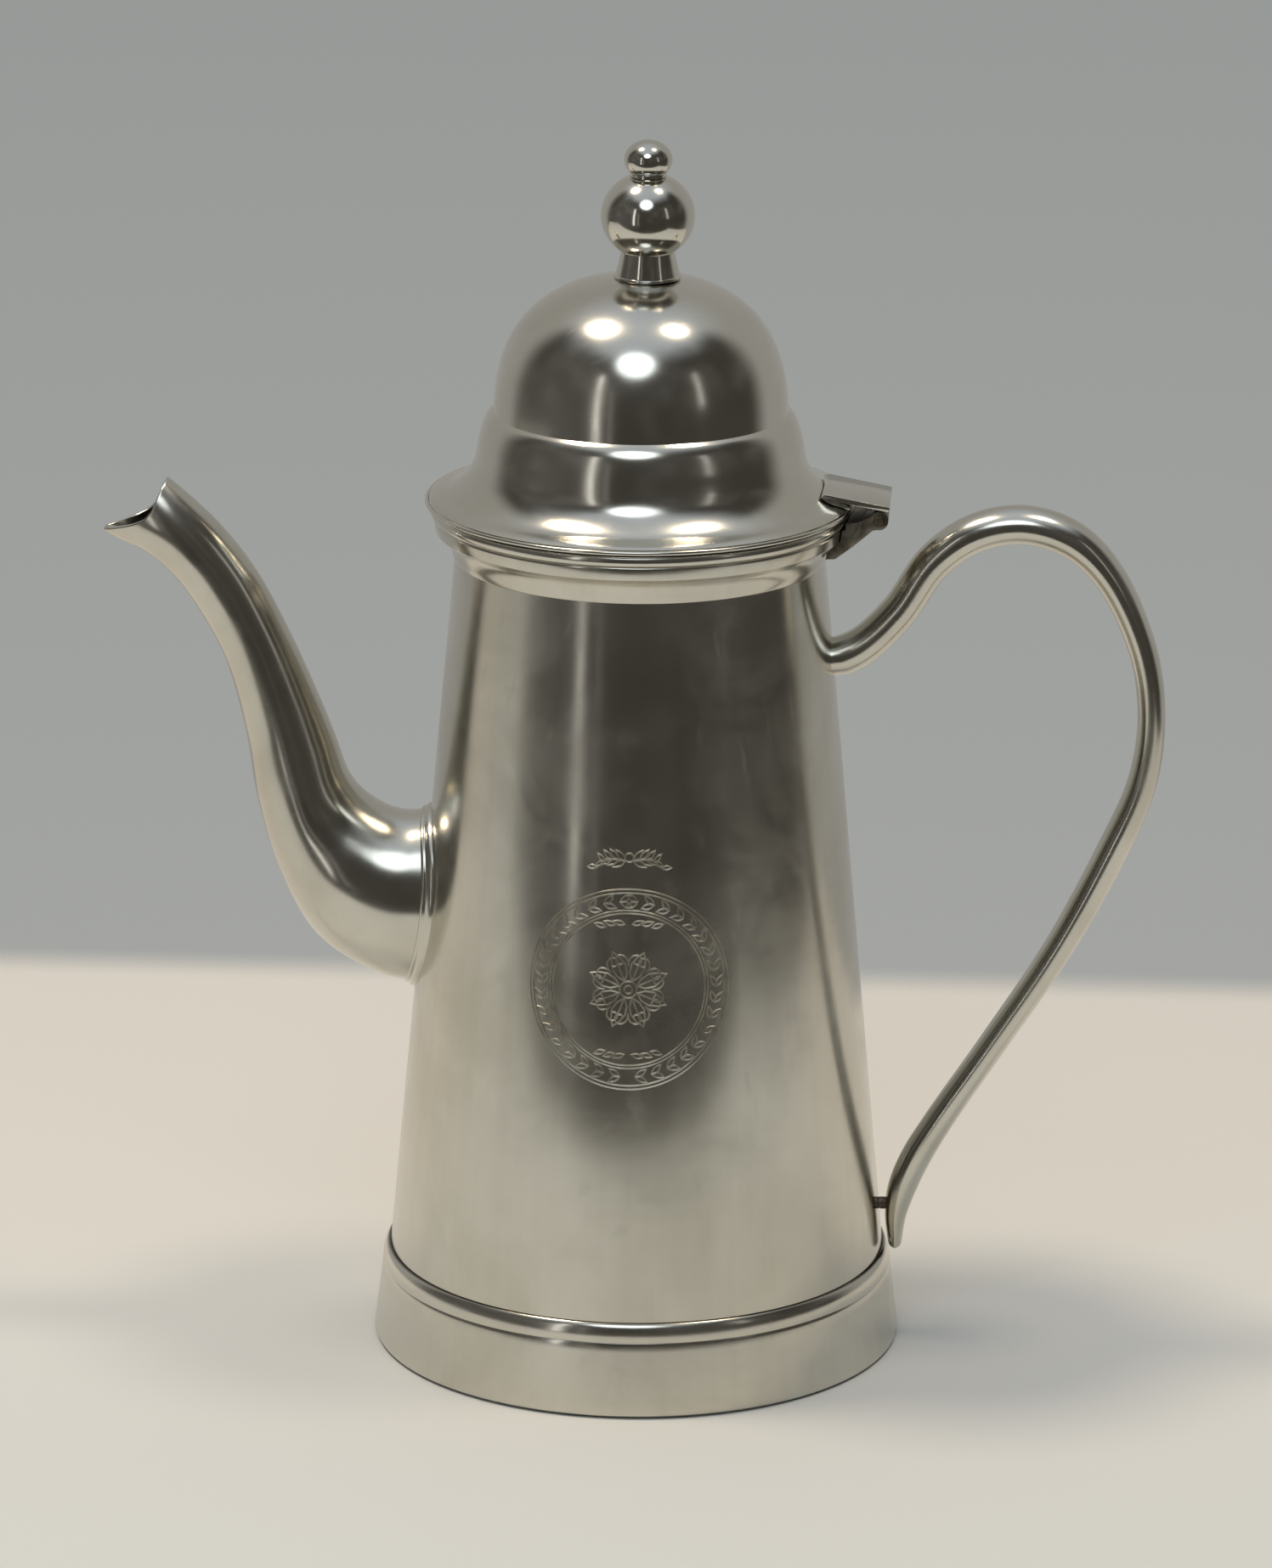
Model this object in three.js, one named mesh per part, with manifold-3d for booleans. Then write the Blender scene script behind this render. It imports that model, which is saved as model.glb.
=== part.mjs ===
// Straight-sided coffee pot with a swan-neck spout, a loop handle and a hinged domed lid.
// Millimetres, +Z up. The origin is the centre of the circle that the foot stands on, the spout points to -X
// and the handle and hinge are on +X.

import * as THREE from 'three';
import { ParametricGeometry } from 'three/addons/geometries/ParametricGeometry.js';
import { mergeVertices } from 'three/addons/utils/BufferGeometryUtils.js';
import Module from 'manifold-3d';

// ---- Body, foot and mouth ----
const bodyWall = 1.0;
const bodyBaseRadius = 50.7;
const bodyTopRadius = 37.3;
const bodyConeHeight = 145.4;
const neckRise = 11.1;
const footSpread = 3.3;
const footTopSpread = 1.6;
const footBandHeight = 15.6;
const footBeadHeight = 3.9;
const footWall = 1.0;
const footLift = 0.4;
const footRimHeight = 2.4;
const footRimWidth = 1.6;
const footRimInset = 0.35;
const basePlateHeight = 7.0;
const basePlateRise = 1.4;
const basePlateWall = 1.0;
const basePlateLip = 3.2;
const basePlateBorder = 8.0;
const collarSpread = 3.9;
const mouthBeadSpread = 4.9;
const mouthBeadHeight = 2.3;
const mouthBeadDepth = 0.7;

// ---- Spout ----
const spoutWall = 1.0;
const spoutRise = 73.3;
const spoutFlangeWidth = 1.8;
const spoutFlangeStand = 0.45;
const strainerHoleRadius = 1.7;
const strainerPitch = 5.4;
const strainerRings = 2;

// ---- Handle ----
const handleTipRise = 3.6;
const handleJointDrop = 18.9;
const studRise = 9.0;
const studRadius = 1.25;

// ---- Hinge ----
const hingeOutset = 6.0;
const hingeDrop = 0.6;
const hingeHalfWidth = 8.5;
const centreKnuckleHalfWidth = 2.8;
const pinRadius = 1.0;
const knuckleWall = 0.85;
const pinHeadStand = 0.3;
const hingePlateThickness = 0.9;
const lidLeafReach = 11.6;
const lidLeafFoot = 0.45;

// ---- Lid and finial ----
const lidWall = 0.9;
const lidOverhang = 1.1;
const lidFlangeWidth = 13.7;
const domeFootHeight = 19.4;
const domeHeight = 27.3;
const rimWireRadius = 0.45;
const bezelDepth = 5.5;
const bezelWall = 0.8;
const finialOffset = 1.2;
const neckBaseRadius = 6.8;
const neckTopRadius = 5.4;
const neckHeight = 5.0;
const ballRadius = 9.45;
const ballHalfHeight = 8.8;
const tipRadius = 4.85;
const tipHalfHeight = 4.0;
const studThreadRadius = 1.5;
const nutRadius = 3.6;
const nutThickness = 2.4;
const washerRadius = 6.2;
const washerThickness = 0.8;

// ---- Clearances ----
const solderGap = 0.3;
const seatGap = 0.06;
const lidGap = 0.3;
const bezelClearance = 0.6;
const pinClearance = 0.05;
const knuckleSideGap = 0.2;
const leafClearance = 0.1;
const threadClearance = 0.08;

// ---- Facets ----
const turnSides = 40;
const smallSides = 20;
const spoutSides = 16;
const spoutSteps = 20;
const handleSides = 10;
const handleSteps = 44;

const wasm = await Module();
wasm.setup();

// ================= Geometry helpers =================

// Volume inside a closed indexed mesh: positive when its faces point outwards.
function signedVolume(position, index) {
  let volume = 0;
  const a = new THREE.Vector3();
  const b = new THREE.Vector3();
  const c = new THREE.Vector3();
  for (let i = 0; i < index.length; i += 3) {
    a.fromArray(position, 3 * index[i]);
    b.fromArray(position, 3 * index[i + 1]);
    c.fromArray(position, 3 * index[i + 2]);
    volume += a.dot(b.cross(c)) / 6;
  }
  return volume;
}

// Turns any closed geometry into a solid: seams merged, empty triangles dropped, faces outwards.
function solid(geometry) {
  const bare = geometry.clone();
  bare.deleteAttribute('normal');
  bare.deleteAttribute('uv');
  const merged = mergeVertices(bare, 1e-4);
  const position = Float32Array.from(merged.attributes.position.array);
  const index = [];
  for (let i = 0; i < merged.index.count; i += 3) {
    const [p, q, r] = [0, 1, 2].map((corner) => merged.index.getX(i + corner));
    if (p !== q && q !== r && r !== p) index.push(p, q, r);
  }
  if (signedVolume(position, index) < 0) index.reverse();
  return new wasm.Manifold(
    new wasm.Mesh({ numProp: 3, vertProperties: position, triVerts: Uint32Array.from(index) }));
}

function geometryOf(manifold) {
  const mesh = manifold.getMesh();
  const geometry = new THREE.BufferGeometry();
  geometry.setAttribute('position', new THREE.BufferAttribute(Float32Array.from(mesh.vertProperties), 3));
  geometry.setIndex(Array.from(mesh.triVerts));
  geometry.computeVertexNormals();
  return geometry;
}

// A solid of revolution about Z from [radius, height] points, which start and end on the axis or form a ring.
function turned(outline, sides = turnSides) {
  const points = outline.map(([radius, height]) => new THREE.Vector2(Math.max(radius, 0), height));
  if (points[0].x > 0 || points[points.length - 1].x > 0) points.push(points[0].clone());
  return solid(new THREE.LatheGeometry(points, sides).rotateX(Math.PI / 2));
}

// A plate with the given [x, z] outline, from -halfWidth to halfWidth in Y.
function plate(outline, halfWidth) {
  const shape = new THREE.Shape(outline.map(([x, z]) => new THREE.Vector2(x, z)));
  const geometry = new THREE.ExtrudeGeometry(shape, { depth: 2 * halfWidth, bevelEnabled: false });
  return solid(geometry.rotateX(Math.PI / 2).translate(0, halfWidth, 0));
}

// A round bar along Y through [x, z], whose flats are at least radius from the axis when it is a cutter.
function barAlongY(x, z, radius, fromY, toY, sides = smallSides) {
  const bar = new THREE.CylinderGeometry(radius, radius, toY - fromY, sides);
  return solid(bar.translate(0, (fromY + toY) / 2, 0).translate(x, 0, z));
}

const cutterRadius = (radius, sides = smallSides) => radius / Math.cos(Math.PI / sides);

function ring(centreRadius, centreHeight, wireRadius, steps) {
  return Array.from({ length: steps }, (_, i) => {
    const angle = (2 * Math.PI * i) / steps;
    return [centreRadius + wireRadius * Math.cos(angle), centreHeight + wireRadius * Math.sin(angle)];
  });
}

// Points on a quarter or part ellipse, both angles in degrees from the horizontal.
function arc(centreRadius, centreHeight, halfWidth, halfHeight, fromDegrees, toDegrees, steps) {
  return Array.from({ length: steps + 1 }, (_, i) => {
    const angle = THREE.MathUtils.degToRad(fromDegrees + ((toDegrees - fromDegrees) * i) / steps);
    return [centreRadius + halfWidth * Math.cos(angle), centreHeight + halfHeight * Math.sin(angle)];
  });
}

// The same [radius, height] line moved sideways: a positive distance is to the right of its direction.
function offsetLine(line, distance) {
  return line.map((point, i) => {
    const before = line[Math.max(i - 1, 0)];
    const after = line[Math.min(i + 1, line.length - 1)];
    const run = new THREE.Vector2(after[0] - before[0], after[1] - before[1]).normalize();
    return [point[0] + run.y * distance, point[1] - run.x * distance];
  });
}

function heightOnLine(line, radius) {
  for (let i = 0; i + 1 < line.length; i += 1) {
    const [r0, h0] = line[i];
    const [r1, h1] = line[i + 1];
    if ((r0 - radius) * (r1 - radius) <= 0 && r0 !== r1) return h0 + ((h1 - h0) * (radius - r0)) / (r1 - r0);
  }
  return line[line.length - 1][1];
}

// A body lofted through oval sections. Each section has a centre, and two half-axes at right angles.
function loft(sections, sides) {
  const rows = sections.length + 1;
  const surface = (u, v, target) => {
    const row = Math.round(v * rows);
    const section = sections[THREE.MathUtils.clamp(row - 1, 0, sections.length - 1)];
    target.copy(section.centre);
    if (row === 0 || row === rows) return;
    const angle = 2 * Math.PI * u;
    target.addScaledVector(section.inPlane, Math.cos(angle)).addScaledVector(section.across, Math.sin(angle));
  };
  return solid(new ParametricGeometry(surface, sides, rows));
}

// ================= Shared shapes =================

const bodyBaseHeight = footBandHeight + footBeadHeight;
const bodyTopHeight = bodyBaseHeight + bodyConeHeight;
const mouthHeight = bodyTopHeight + neckRise;
const footRadius = bodyBaseRadius + footSpread;
const footTopRadius = bodyBaseRadius + footTopSpread;
const bodyTaper = (bodyBaseRadius - bodyTopRadius) / bodyConeHeight;
const bodyRadiusAt = (height) => bodyBaseRadius - bodyTaper * (height - bodyBaseHeight);
const mouthInnerRadius = bodyTopRadius - bodyWall;
const spoutHeight = bodyBaseHeight + spoutRise;

// Everything inside the outer face of the body, grown by a margin. It trims the parts that meet the wall.
function bodyEnvelope(margin) {
  return turned([
    [0, 0],
    [bodyRadiusAt(0) + margin, 0],
    [bodyTopRadius + margin, bodyTopHeight],
    [bodyTopRadius + margin, mouthHeight],
    [0, mouthHeight],
  ]);
}

// Outer line of the moulding below the mouth, from the wall up: a cove, a flat band and a groove.
const collarTopHeight = mouthHeight - mouthBeadHeight;
const collarLine = [
  [bodyTopRadius + 0.1, bodyTopHeight + 0.2],
  [bodyTopRadius + 0.5, bodyTopHeight + 1.3],
  [bodyTopRadius + 0.8, bodyTopHeight + 2.5],
  [bodyTopRadius + 1.3, bodyTopHeight + 3.7],
  [bodyTopRadius + 2.1, bodyTopHeight + 4.8],
  [bodyTopRadius + collarSpread - 0.4, bodyTopHeight + 5.8],
  [bodyTopRadius + collarSpread, bodyTopHeight + 6.2],
  [bodyTopRadius + collarSpread + 0.3, collarTopHeight - 0.4],
  [bodyTopRadius + collarSpread, collarTopHeight - seatGap],
];
const mouthBeadCentre = mouthHeight - mouthBeadHeight / 2;
const mouthBeadRadius = bodyTopRadius + mouthBeadSpread;
const mouthBeadLine = arc(
  mouthBeadRadius - mouthBeadDepth, mouthBeadCentre, mouthBeadDepth, mouthBeadHeight / 2, -90, 90, 4);

// Outer line of the lid from the middle of the crown down to the edge of the flange.
const lidSeat = mouthHeight + lidGap;
const lidEdgeRadius = mouthBeadRadius + lidOverhang;
const domeRadius = lidEdgeRadius - lidFlangeWidth;
const flangeRadius = lidEdgeRadius - 2 * rimWireRadius - seatGap;
const crownExponent = 2.35;
const crownHoleRadius = studThreadRadius + finialOffset + 0.5;
const domeFoot = mouthHeight + domeFootHeight;
const crownSteps = 9;
const crownLine = Array.from({ length: crownSteps + 1 }, (_, i) => {
  const turn = (Math.PI / 2) * (1 - i / crownSteps);
  const swell = Math.pow(Math.cos(turn), 2 / crownExponent);
  const rise = Math.pow(Math.sin(turn), 2 / crownExponent);
  const taper = 0.45 * Math.sin(Math.PI * rise) * (1 - rise);
  return [Math.max(domeRadius * swell - taper, 0), domeFoot + domeHeight * rise];
});
const flangeEdgeHeight = lidSeat + rimWireRadius + 0.65;
// Shares of the way out from the foot of the dome and of the way down to the edge.
const flangeLine = [
  [0.063, 0.039],
  [0.126, 0.106],
  [0.173, 0.189],
  [0.228, 0.333],
  [0.259, 0.467],
  [0.298, 0.589],
  [0.377, 0.706],
  [0.518, 0.822],
  [0.706, 0.922],
  [0.921, 0.972],
  [1, 1],
].map(([out, down]) => [
  THREE.MathUtils.lerp(domeRadius, flangeRadius, out),
  THREE.MathUtils.lerp(domeFoot, flangeEdgeHeight, down),
]);
const lidLine = [...crownLine, ...flangeLine];
const lidInnerLine = offsetLine(lidLine, lidWall);
const crownHeight = domeFoot + domeHeight;

// Everything inside the outer face of the lid and its rim wire, grown by a margin.
function lidEnvelope(margin) {
  const grown = offsetLine(lidLine, -margin);
  const edge = lidEdgeRadius + margin;
  return turned([[0, grown[0][1]], ...grown, [edge, flangeEdgeHeight + margin], [edge, lidSeat - 1],
    [0, lidSeat - 1]]);
}

// ================= Body group =================

// Straight wall with a short neck, pierced behind the spout so that the grounds stay in the pot.
function makeBodyShell() {
  const bottom = basePlateHeight - basePlateLip;
  const wallOuter = [
    [bodyRadiusAt(bodyBaseHeight), bottom],
    [bodyRadiusAt(bodyBaseHeight), bodyBaseHeight],
    [bodyTopRadius, bodyTopHeight],
    [bodyTopRadius, mouthHeight - seatGap],
  ];
  const wallInner = wallOuter.map(([radius, height]) => [radius - bodyWall, height]).reverse();
  let shell = turned([...wallOuter, ...wallInner]);
  const wallRadius = bodyRadiusAt(spoutHeight);
  const drillLength = 4 * bodyWall + 2 * strainerPitch;
  for (let row = -strainerRings; row <= strainerRings; row += 1) {
    const across = 2 * strainerRings + 1 - Math.abs(row);
    for (let column = 0; column < across; column += 1) {
      const y = (column - (across - 1) / 2) * strainerPitch;
      const z = spoutHeight + row * strainerPitch * Math.sin(Math.PI / 3);
      const drill = new THREE.CylinderGeometry(strainerHoleRadius, strainerHoleRadius, drillLength, 12);
      shell = shell.subtract(solid(drill.rotateZ(Math.PI / 2).translate(-wallRadius, y, z)));
    }
  }
  return shell;
}

// Slightly domed floor with a turned-down lip that fits inside the wall.
function makeBasePlate() {
  const radius = bodyBaseRadius - bodyWall - seatGap;
  const flat = radius - basePlateBorder;
  return turned([
    [0, basePlateHeight + basePlateRise + basePlateWall],
    [flat, basePlateHeight + basePlateWall],
    [radius, basePlateHeight + basePlateWall],
    [radius, basePlateHeight - basePlateLip],
    [radius - basePlateWall, basePlateHeight - basePlateLip],
    [radius - basePlateWall, basePlateHeight],
    [flat, basePlateHeight],
    [0, basePlateHeight + basePlateRise],
  ]);
}

// Tapered skirt round the bottom of the wall.
function makeFootBand() {
  return turned([
    [footRadius - 0.3, footLift],
    [footRadius, footLift + 0.5],
    [footTopRadius, footBandHeight],
    [bodyBaseRadius + seatGap, footBandHeight],
    [bodyBaseRadius + seatGap, footBandHeight - 3],
    [footTopRadius - footWall + 0.5, footBandHeight - 6],
    [footRadius - footWall, footLift],
  ]);
}

// Half-round wire that closes the top of the skirt against the wall.
function makeFootBead() {
  const start = footBandHeight + seatGap;
  const inner = bodyBaseRadius + seatGap;
  const width = footTopRadius - inner;
  return turned([
    [inner, start],
    ...arc(inner, start, width, bodyBaseHeight - start, 0, 84, 4),
  ]);
}

// Flat wire inside the lower edge of the skirt. The pot stands on it.
function makeFootRim() {
  const outer = footRadius - footWall - footRimInset;
  return turned([
    [outer - footRimWidth, 0],
    [outer, 0],
    [outer - 0.2, footRimHeight],
    [outer - footRimWidth, footRimHeight],
  ]);
}

function makeMouthCollar() {
  const inner = bodyTopRadius + seatGap;
  return turned([[inner, bodyTopHeight + 0.2], ...collarLine.slice(1), [inner, collarTopHeight - seatGap]]);
}

function makeMouthBead() {
  const inner = bodyTopRadius + seatGap;
  return turned([[inner, collarTopHeight], ...mouthBeadLine, [inner, mouthHeight]]);
}

// ================= Spout =================

// Side view of the spout, from the wall to the mouth, as pairs of points on its top line and its underside,
// measured outwards from the wall at the spout's height and up from that height, and the half-width there.
const spoutStations = [
  { top: [-5.0, 18.6], under: [-2.0, -18.4], half: 14.8 },
  { top: [3.6, 17.3], under: [8.2, -16.9], half: 15.0 },
  { top: [10.3, 19.9], under: [21.4, -8.9], half: 13.8 },
  { top: [14.9, 24.7], under: [29.4, 5.1], half: 11.4 },
  { top: [18.0, 33.2], under: [33.9, 20.3], half: 9.6 },
  { top: [21.0, 40.9], under: [36.0, 33.6], half: 8.3 },
  { top: [27.3, 55.3], under: [40.1, 49.1], half: 7.2 },
  { top: [34.0, 67.9], under: [45.9, 60.2], half: 6.9 },
  { top: [40.8, 76.7], under: [51.3, 67.3], half: 6.8 },
  { top: [47.6, 83.3], under: [56.7, 71.6], half: 6.4 },
  { top: [52.8, 87.6], under: [60.8, 73.3], half: 5.3 },
  { top: [58.3, 91.6], under: [64.7, 75.3], half: 3.9 },
];
// The cut that opens the mouth: down the front of the hood, then out along the rim of the beak.
const mouthCut = [
  [51.7, 86.4], [53.2, 83.2], [54.2, 80.6], [55.7, 79.0], [58.4, 77.6], [61.9, 76.4], [63.8, 75.8], [66.5, 75.2],
];

const spoutRootX = -bodyRadiusAt(spoutHeight);
const spoutPoint = ([out, up]) => new THREE.Vector3(spoutRootX - out, 0, spoutHeight + up);
const spoutTopCurve = new THREE.CatmullRomCurve3(spoutStations.map(({ top }) => spoutPoint(top)));
const spoutUnderCurve = new THREE.CatmullRomCurve3(spoutStations.map(({ under }) => spoutPoint(under)));

function interpolate(values, share) {
  const place = share * (values.length - 1);
  const low = Math.min(Math.floor(place), values.length - 2);
  return THREE.MathUtils.lerp(values[low], values[low + 1], place - low);
}

// Oval sections along the spout, grown by a margin, or shrunk when it is negative.
function spoutSections(margin, pastMouth = 0) {
  const count = spoutSteps;
  const halves = spoutStations.map(({ half }) => half);
  const sections = Array.from({ length: count }, (_, i) => {
    const share = i / (count - 1);
    const top = spoutTopCurve.getPoint(share);
    const under = spoutUnderCurve.getPoint(share);
    const inPlane = top.clone().sub(under).multiplyScalar(0.5);
    return {
      centre: top.clone().add(under).multiplyScalar(0.5),
      inPlane: inPlane.setLength(inPlane.length() + margin),
      across: new THREE.Vector3(0, interpolate(halves, share) + margin, 0),
    };
  });
  sections[count - 1].centre.add(new THREE.Vector3(-pastMouth, 0, pastMouth));
  return sections;
}

function makeSpout() {
  const tube = loft(spoutSections(0), spoutSides);
  const bore = loft(spoutSections(-spoutWall, spoutWall), spoutSides);
  const cutLine = mouthCut.map((point) => spoutPoint(point)).map(({ x, z }) => [x, z]);
  const first = cutLine[0];
  const last = cutLine[cutLine.length - 1];
  const cutter = plate([[first[0] + 2.0, first[1] + 3.6], ...cutLine, [last[0] - 2, first[1] + 12],
    [first[0] + 2.0, first[1] + 12]], 2 * spoutStations[0].half);
  return tube.subtract(bore).subtract(cutter).subtract(bodyEnvelope(solderGap));
}

// Narrow band that covers the joint between the spout and the wall.
function makeSpoutFlange() {
  const outside = loft(spoutSections(spoutFlangeStand), spoutSides);
  const inside = loft(spoutSections(seatGap), spoutSides);
  return outside.subtract(inside).intersect(bodyEnvelope(spoutFlangeWidth)).subtract(bodyEnvelope(solderGap));
}

// ================= Handle =================

// Centre line of the handle from the upper joint round to the lower tip: distance out from the wall, height as
// a share of the rise from tip to joint, thickness in the plane of the loop and width across it.
const handleStations = [
  { out: -2.0, rise: 0.982, thick: 8.4, wide: 10.0 },
  { out: 5.7, rise: 1.009, thick: 7.8, wide: 10.0 },
  { out: 13.9, rise: 1.068, thick: 7.5, wide: 10.0 },
  { out: 21.7, rise: 1.150, thick: 7.6, wide: 10.0 },
  { out: 29.8, rise: 1.198, thick: 7.8, wide: 10.0 },
  { out: 39.5, rise: 1.214, thick: 7.8, wide: 10.0 },
  { out: 49.2, rise: 1.192, thick: 7.5, wide: 10.0 },
  { out: 56.7, rise: 1.134, thick: 6.6, wide: 9.6 },
  { out: 62.4, rise: 1.015, thick: 5.8, wide: 9.2 },
  { out: 63.3, rise: 0.906, thick: 5.7, wide: 9.0 },
  { out: 60.5, rise: 0.795, thick: 6.0, wide: 9.0 },
  { out: 52.9, rise: 0.672, thick: 6.4, wide: 8.8 },
  { out: 40.7, rise: 0.510, thick: 6.0, wide: 8.4 },
  { out: 25.5, rise: 0.342, thick: 5.7, wide: 8.0 },
  { out: 13.5, rise: 0.212, thick: 6.0, wide: 7.6 },
  { out: 8.0, rise: 0.145, thick: 6.3, wide: 7.3 },
  { out: 4.9, rise: 0.094, thick: 5.8, wide: 7.0 },
  { out: 3.3, rise: 0.050, thick: 4.4, wide: 6.6 },
  { out: 2.7, rise: 0.0, thick: 2.6, wide: 6.0 },
];

const handleTipHeight = footBandHeight + handleTipRise;
const handleJointHeight = bodyTopHeight - handleJointDrop;
const studHeight = handleTipHeight + studRise;

const handleCurve = new THREE.CatmullRomCurve3(handleStations.map(({ out, rise }) => {
  const height = handleTipHeight + rise * (handleJointHeight - handleTipHeight);
  return new THREE.Vector3(bodyRadiusAt(height) + out, 0, height);
}));

function handleSection(share, margin) {
  const along = handleCurve.getTangent(share);
  const thick = interpolate(handleStations.map((station) => station.thick), share);
  const wide = interpolate(handleStations.map((station) => station.wide), share);
  return {
    centre: handleCurve.getPoint(share),
    inPlane: new THREE.Vector3(-along.z, 0, along.x).multiplyScalar(thick / 2 + margin),
    across: new THREE.Vector3(0, wide / 2 + margin, 0),
  };
}

function handleForm(margin) {
  const sections = Array.from({ length: handleSteps }, (_, i) => handleSection(i / (handleSteps - 1), margin));
  return loft(sections, handleSides);
}

function makeHandle() {
  return handleForm(0).subtract(bodyEnvelope(solderGap));
}

// Short pin that holds the lower end of the handle off the wall.
function makeHandleStud() {
  let share = 0.99;
  while (share > 0.7 && handleCurve.getPoint(share).z < studHeight) share -= 0.001;
  const start = bodyRadiusAt(studHeight) - bodyWall;
  const length = handleCurve.getPoint(share).x - start;
  const pin = new THREE.CylinderGeometry(studRadius, studRadius, length, smallSides);
  return solid(pin.rotateZ(Math.PI / 2).translate(start + length / 2, 0, studHeight))
    .subtract(bodyEnvelope(seatGap))
    .subtract(handleForm(seatGap));
}

// ================= Hinge =================

const hingeX = mouthBeadRadius + hingeOutset;
const hingeZ = mouthHeight - hingeDrop;
const knuckleRadius = pinRadius + knuckleWall;

// Everything inside the mouldings of the mouth, grown by a margin.
function mouthEnvelope(margin) {
  const start = bodyTopHeight - 3;
  const edge = mouthBeadRadius + margin;
  const cove = collarLine.slice(0, -1).map(([radius, height]) => [radius + margin, height]);
  return turned([[0, start], [bodyTopRadius + margin + 0.4, start], ...cove, [edge, collarTopHeight - margin],
    [edge, mouthHeight + margin], [0, mouthHeight + margin]]);
}

// Bracket on the collar with the two outer knuckles.
function makeHingeBodyLeaf() {
  const arm = plate([
    [mouthBeadRadius - 3.5, collarTopHeight + 1.2],
    [mouthBeadRadius - 4.6, bodyTopHeight + 2.4],
    [mouthBeadRadius - 2.7, bodyTopHeight + 2.5],
    [mouthBeadRadius + 1.0, bodyTopHeight + 5.3],
    [hingeX - 1.3, hingeZ - 0.15 - knuckleRadius],
    [hingeX + 0.3, hingeZ + 0.25 - knuckleRadius],
    [hingeX + 0.6, hingeZ - 0.65 + knuckleRadius],
    [hingeX - 1.5, hingeZ - 0.85 + knuckleRadius],
    [mouthBeadRadius + 1.6, collarTopHeight + 1.2],
  ], hingeHalfWidth);
  const knuckle = barAlongY(hingeX, hingeZ, knuckleRadius, -hingeHalfWidth, hingeHalfWidth);
  const gapHalf = centreKnuckleHalfWidth + knuckleSideGap;
  const notch = barAlongY(hingeX, hingeZ, cutterRadius(knuckleRadius + solderGap), -gapHalf, gapHalf);
  const hole = barAlongY(
    hingeX, hingeZ, cutterRadius(pinRadius + pinClearance), -2 * hingeHalfWidth, 2 * hingeHalfWidth);
  return arm.add(knuckle).subtract(notch).subtract(hole).subtract(mouthEnvelope(solderGap));
}

function makeHingePin() {
  const half = hingeHalfWidth + pinHeadStand;
  return barAlongY(hingeX, hingeZ, pinRadius, -half, half);
}

// Folded strip on the lid's flange: a foot along the flange, a flat top, and the centre knuckle under its end.
function makeHingeLidLeaf() {
  const noseX = hingeX - lidLeafReach;
  const noseZ = heightOnLine(lidLine, noseX);
  const tailX = hingeX + knuckleRadius + 0.15;
  const thickness = hingePlateThickness;
  const tailZ = hingeZ + knuckleRadius + leafClearance + thickness;
  const foldX = noseX + 3.0;
  const top = plate([
    [noseX, noseZ],
    [noseX + thickness, noseZ + 0.4],
    [tailX, tailZ],
    [tailX + 0.1, tailZ - 0.6 * thickness],
    [tailX - 0.4, tailZ - thickness],
    [foldX, noseZ - thickness - 0.2],
    [foldX, lidSeat],
    [noseX - 1.0, lidSeat],
  ], hingeHalfWidth);
  const footLine = [0, 0.25, 0.5, 0.75, 1].map((share) => {
    const x = THREE.MathUtils.lerp(foldX - 1, flangeRadius, share);
    return [x, heightOnLine(lidLine, x) + solderGap + lidLeafFoot];
  });
  const foot = plate([[foldX - 1, lidSeat], ...footLine, [flangeRadius, lidSeat]], hingeHalfWidth);
  const web = plate([
    [hingeX - 1.3, hingeZ],
    [hingeX - 1.8, tailZ - 0.2],
    [hingeX + 1.0, tailZ - 0.4],
    [hingeX + 1.3, hingeZ],
  ], centreKnuckleHalfWidth);
  const knuckle = barAlongY(hingeX, hingeZ, knuckleRadius, -centreKnuckleHalfWidth, centreKnuckleHalfWidth);
  const hole = barAlongY(
    hingeX, hingeZ, cutterRadius(pinRadius + 1.5 * pinClearance), -2 * hingeHalfWidth, 2 * hingeHalfWidth);
  return top.add(foot).add(web).add(knuckle).subtract(hole).subtract(lidEnvelope(solderGap));
}

// ================= Lid =================

// One spun shell from the crown to the edge of the flange, with a hole for the finial's stud.
function makeLidDome() {
  const outer = lidLine.filter(([radius]) => radius > crownHoleRadius);
  const inner = lidInnerLine.filter(([radius]) => radius > crownHoleRadius).reverse();
  const outerStart = [crownHoleRadius, heightOnLine(lidLine, crownHoleRadius)];
  const innerEnd = [crownHoleRadius, heightOnLine(lidInnerLine, crownHoleRadius)];
  return turned([outerStart, ...outer, ...inner, innerEnd]);
}

// Wire round the edge of the flange.
function makeLidRim() {
  return turned(ring(lidEdgeRadius - rimWireRadius, lidSeat + 0.1 + rimWireRadius, rimWireRadius, 6));
}

// Short tube under the lid that drops inside the mouth.
function makeLidBezel() {
  const outer = mouthInnerRadius - bezelClearance;
  const inner = outer - bezelWall;
  const underside = heightOnLine(lidInnerLine, outer) - solderGap;
  return turned([
    [inner, mouthHeight - bezelDepth],
    [outer - 0.3, mouthHeight - bezelDepth],
    [outer, mouthHeight - bezelDepth + 0.6],
    [outer, underside],
    [inner, underside],
  ]);
}

// ================= Finial, turned about its own axis =================

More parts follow.
